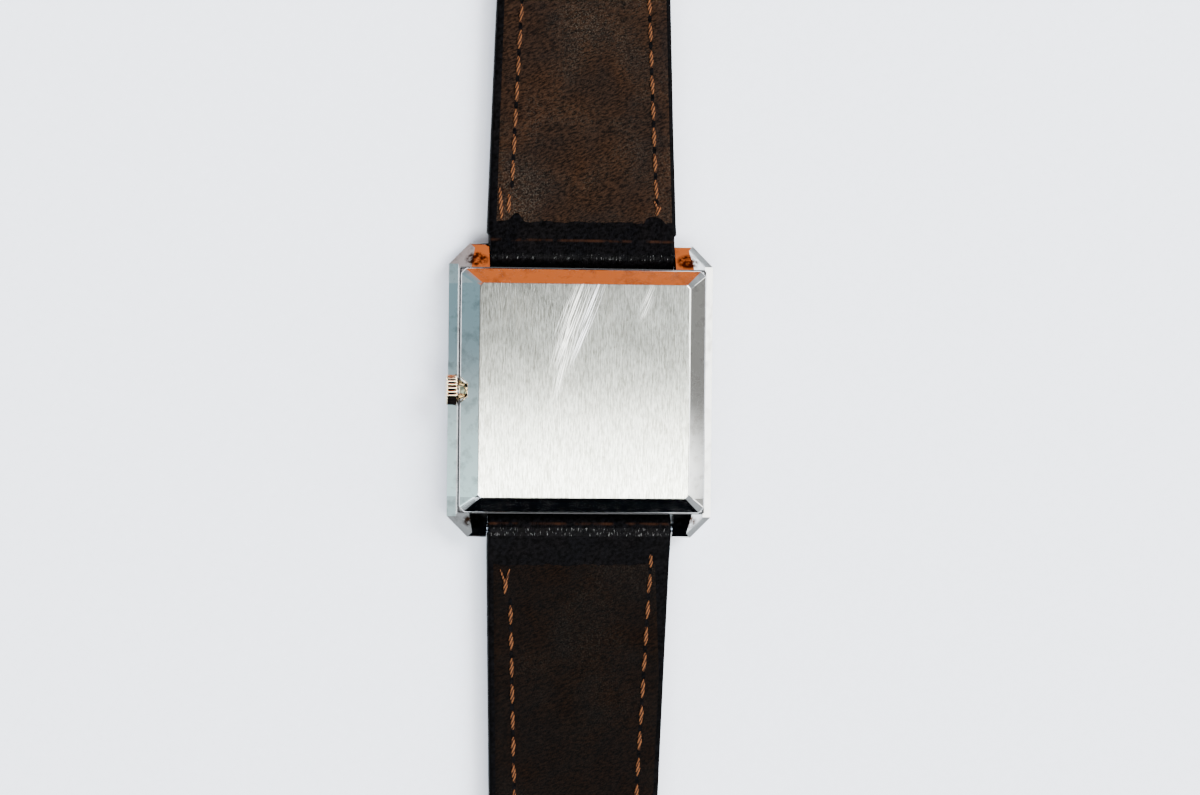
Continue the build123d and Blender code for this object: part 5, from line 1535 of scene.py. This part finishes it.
@dataclass
class Stage:
    """The cloth on the table, the soft lights and the camera of the photograph."""

    pixels_per_mm: float = 10.4
    picture_width: float = 1200.0
    lens: float = 100.0
    sensor: float = 36.0
    tilt: float = 7.0
    roll: float = 0.57
    look_at: tuple[float, float, float] = (1.8, -0.6, 3.0)
    floor_half: float = 2.0  # metres
    floor_drop: float = 0.02
    sky_tone: str = "dde3ec"
    backdrop: str = "e8eaee"
    panels: tuple[Panel, ...] = (
        Panel((0.0, 0.0, 1.0), 26, 52, "7d8183"),
        Panel((0.12, -0.53, 0.85), 10, 34, "fbfcfa", 15.0),
        Panel((0.0, 0.93, 0.3), 26, 44, "f07a3a", 1.35),
        Panel((0.0, -0.93, 0.3), 26, 44, "04060b"),
        Panel((-0.82, 0.4, 0.45), 16, 30, "92b4c2", 1.25),
        Panel((-0.85, -0.38, 0.45), 8, 26, "d2f6fb", 2.4),
        Panel((0.93, 0.0, 0.42), 12, 22, "ffffff", 7.0),
        Panel((0.99, 0.1, 0.12), 6, 13, "b4b3b2"))
    lamps: tuple[Lamp, ...] = (Lamp("key", (0.55, 0.35, 0.75), 24.0, "f6faff"),
                               Lamp("fill", (-0.45, -0.5, 0.7), 8.0, "e6efff"))

    def build(self) -> None:
        """Lays the floor, hangs the lights and sets the camera."""
        self.floor()
        self.sky()
        self.lights()
        self.camera()
        log.info("floor, lights and camera")

    def floor(self) -> None:
        """Lays the pale floor just under the watch."""
        mesh = bmesh.new()
        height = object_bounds()[0].z - self.floor_drop * MM
        bmesh.ops.create_grid(mesh, x_segments=1, y_segments=1, size=self.floor_half,
                              matrix=Matrix.Translation((0, 0, height)))
        piece = finished("floor", mesh, [COTTON.build()])
        piece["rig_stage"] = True

    def sky(self) -> None:
        """Lights the scene from all round, with a different tone on each side."""
        world = bpy.data.worlds.new("studio")
        bpy.context.scene.world = world
        world.use_nodes = True
        sky = Nodes(world.node_tree)
        facing = sky.add("TexCoord", output="Generated")
        colour = linear(self.sky_tone)
        for panel in self.panels:
            close = sky.add("VectorMath", facing, Vector(panel.toward).normalized(),
                            operation="DOT_PRODUCT")
            share = sky.add("MapRange", close, math.cos(math.radians(panel.outer)),
                            math.cos(math.radians(panel.inner)), interpolation_type="SMOOTHSTEP")
            shade = [part * panel.power for part in linear(panel.tone)[:3]] + [1.0]
            colour = sky.add("Mix", share, colour, shade, data_type="RGBA")
        is_seen = sky.add("LightPath", output="Is Camera Ray")
        shown = sky.add("Mix", is_seen, colour, linear(self.backdrop), data_type="RGBA")
        sky.plug(world.node_tree.nodes["Background"].inputs["Color"], shown)

    def lights(self) -> None:
        """Hangs the soft key over the upper right, and a cool fill at the left."""
        for lamp in self.lamps:
            data = bpy.data.lights.new(lamp.name, "AREA")
            data.size = lamp.size
            data.energy = lamp.power
            data.color = linear(lamp.tone)[:3]
            light = linked(lamp.name, data)
            light.location = lamp.place
            light.rotation_euler = (-Vector(lamp.place)).to_track_quat("-Z", "Y").to_euler()

    def camera(self) -> None:
        """Sets the camera over the case, a little towards the crown and turned a little."""
        data = bpy.data.cameras.new("camera")
        data.lens = self.lens
        data.sensor_width = self.sensor
        data.clip_start = 0.01
        camera = linked("camera", data)
        distance = self.picture_width / self.pixels_per_mm * MM * self.lens / self.sensor
        tilt = math.radians(self.tilt)
        back = Vector((-math.sin(tilt), 0, math.cos(tilt)))
        right = Vector((math.cos(tilt), 0, math.sin(tilt)))
        turn = Matrix((right, Vector((0, 1, 0)), back)).transposed()
        turn = Matrix.Rotation(math.radians(self.roll), 3, back) @ turn
        place = Vector(self.look_at) * MM + back * distance
        camera.matrix_world = Matrix.Translation(place) @ turn.to_4x4()
        bpy.context.scene.camera = camera


def main() -> None:
    """Builds the watch and its stage."""
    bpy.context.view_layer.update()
    finishes = {slot: finish.build() for slot, finish in SLOT_FINISHES.items()}
    slots = {row["node"]: row["material_slot"] for row in frame["record"]["subparts"]}
    for name, node in frame["nodes"].items():
        node.data.materials.clear()
        node.data.materials.append(finishes[slots[name]])
    log.info("%d nodes given their finishes", len(slots))
    Case(finishes["case_steel"], BACK_STEEL.build(), CROWN_STEEL_WITH_WARM_REFLECTION.build(),
         finishes["crystal_glass"], finishes["gasket_rubber"], CROWN_PAINTED_SHADE.build()).build()
    Strap(finishes["strap_black"], finishes["strap_brown"], Thread("waxed linen thread").build(),
          finishes["buckle_steel"]).build()
    Stage().build()


if __name__ == "__main__":
    main()
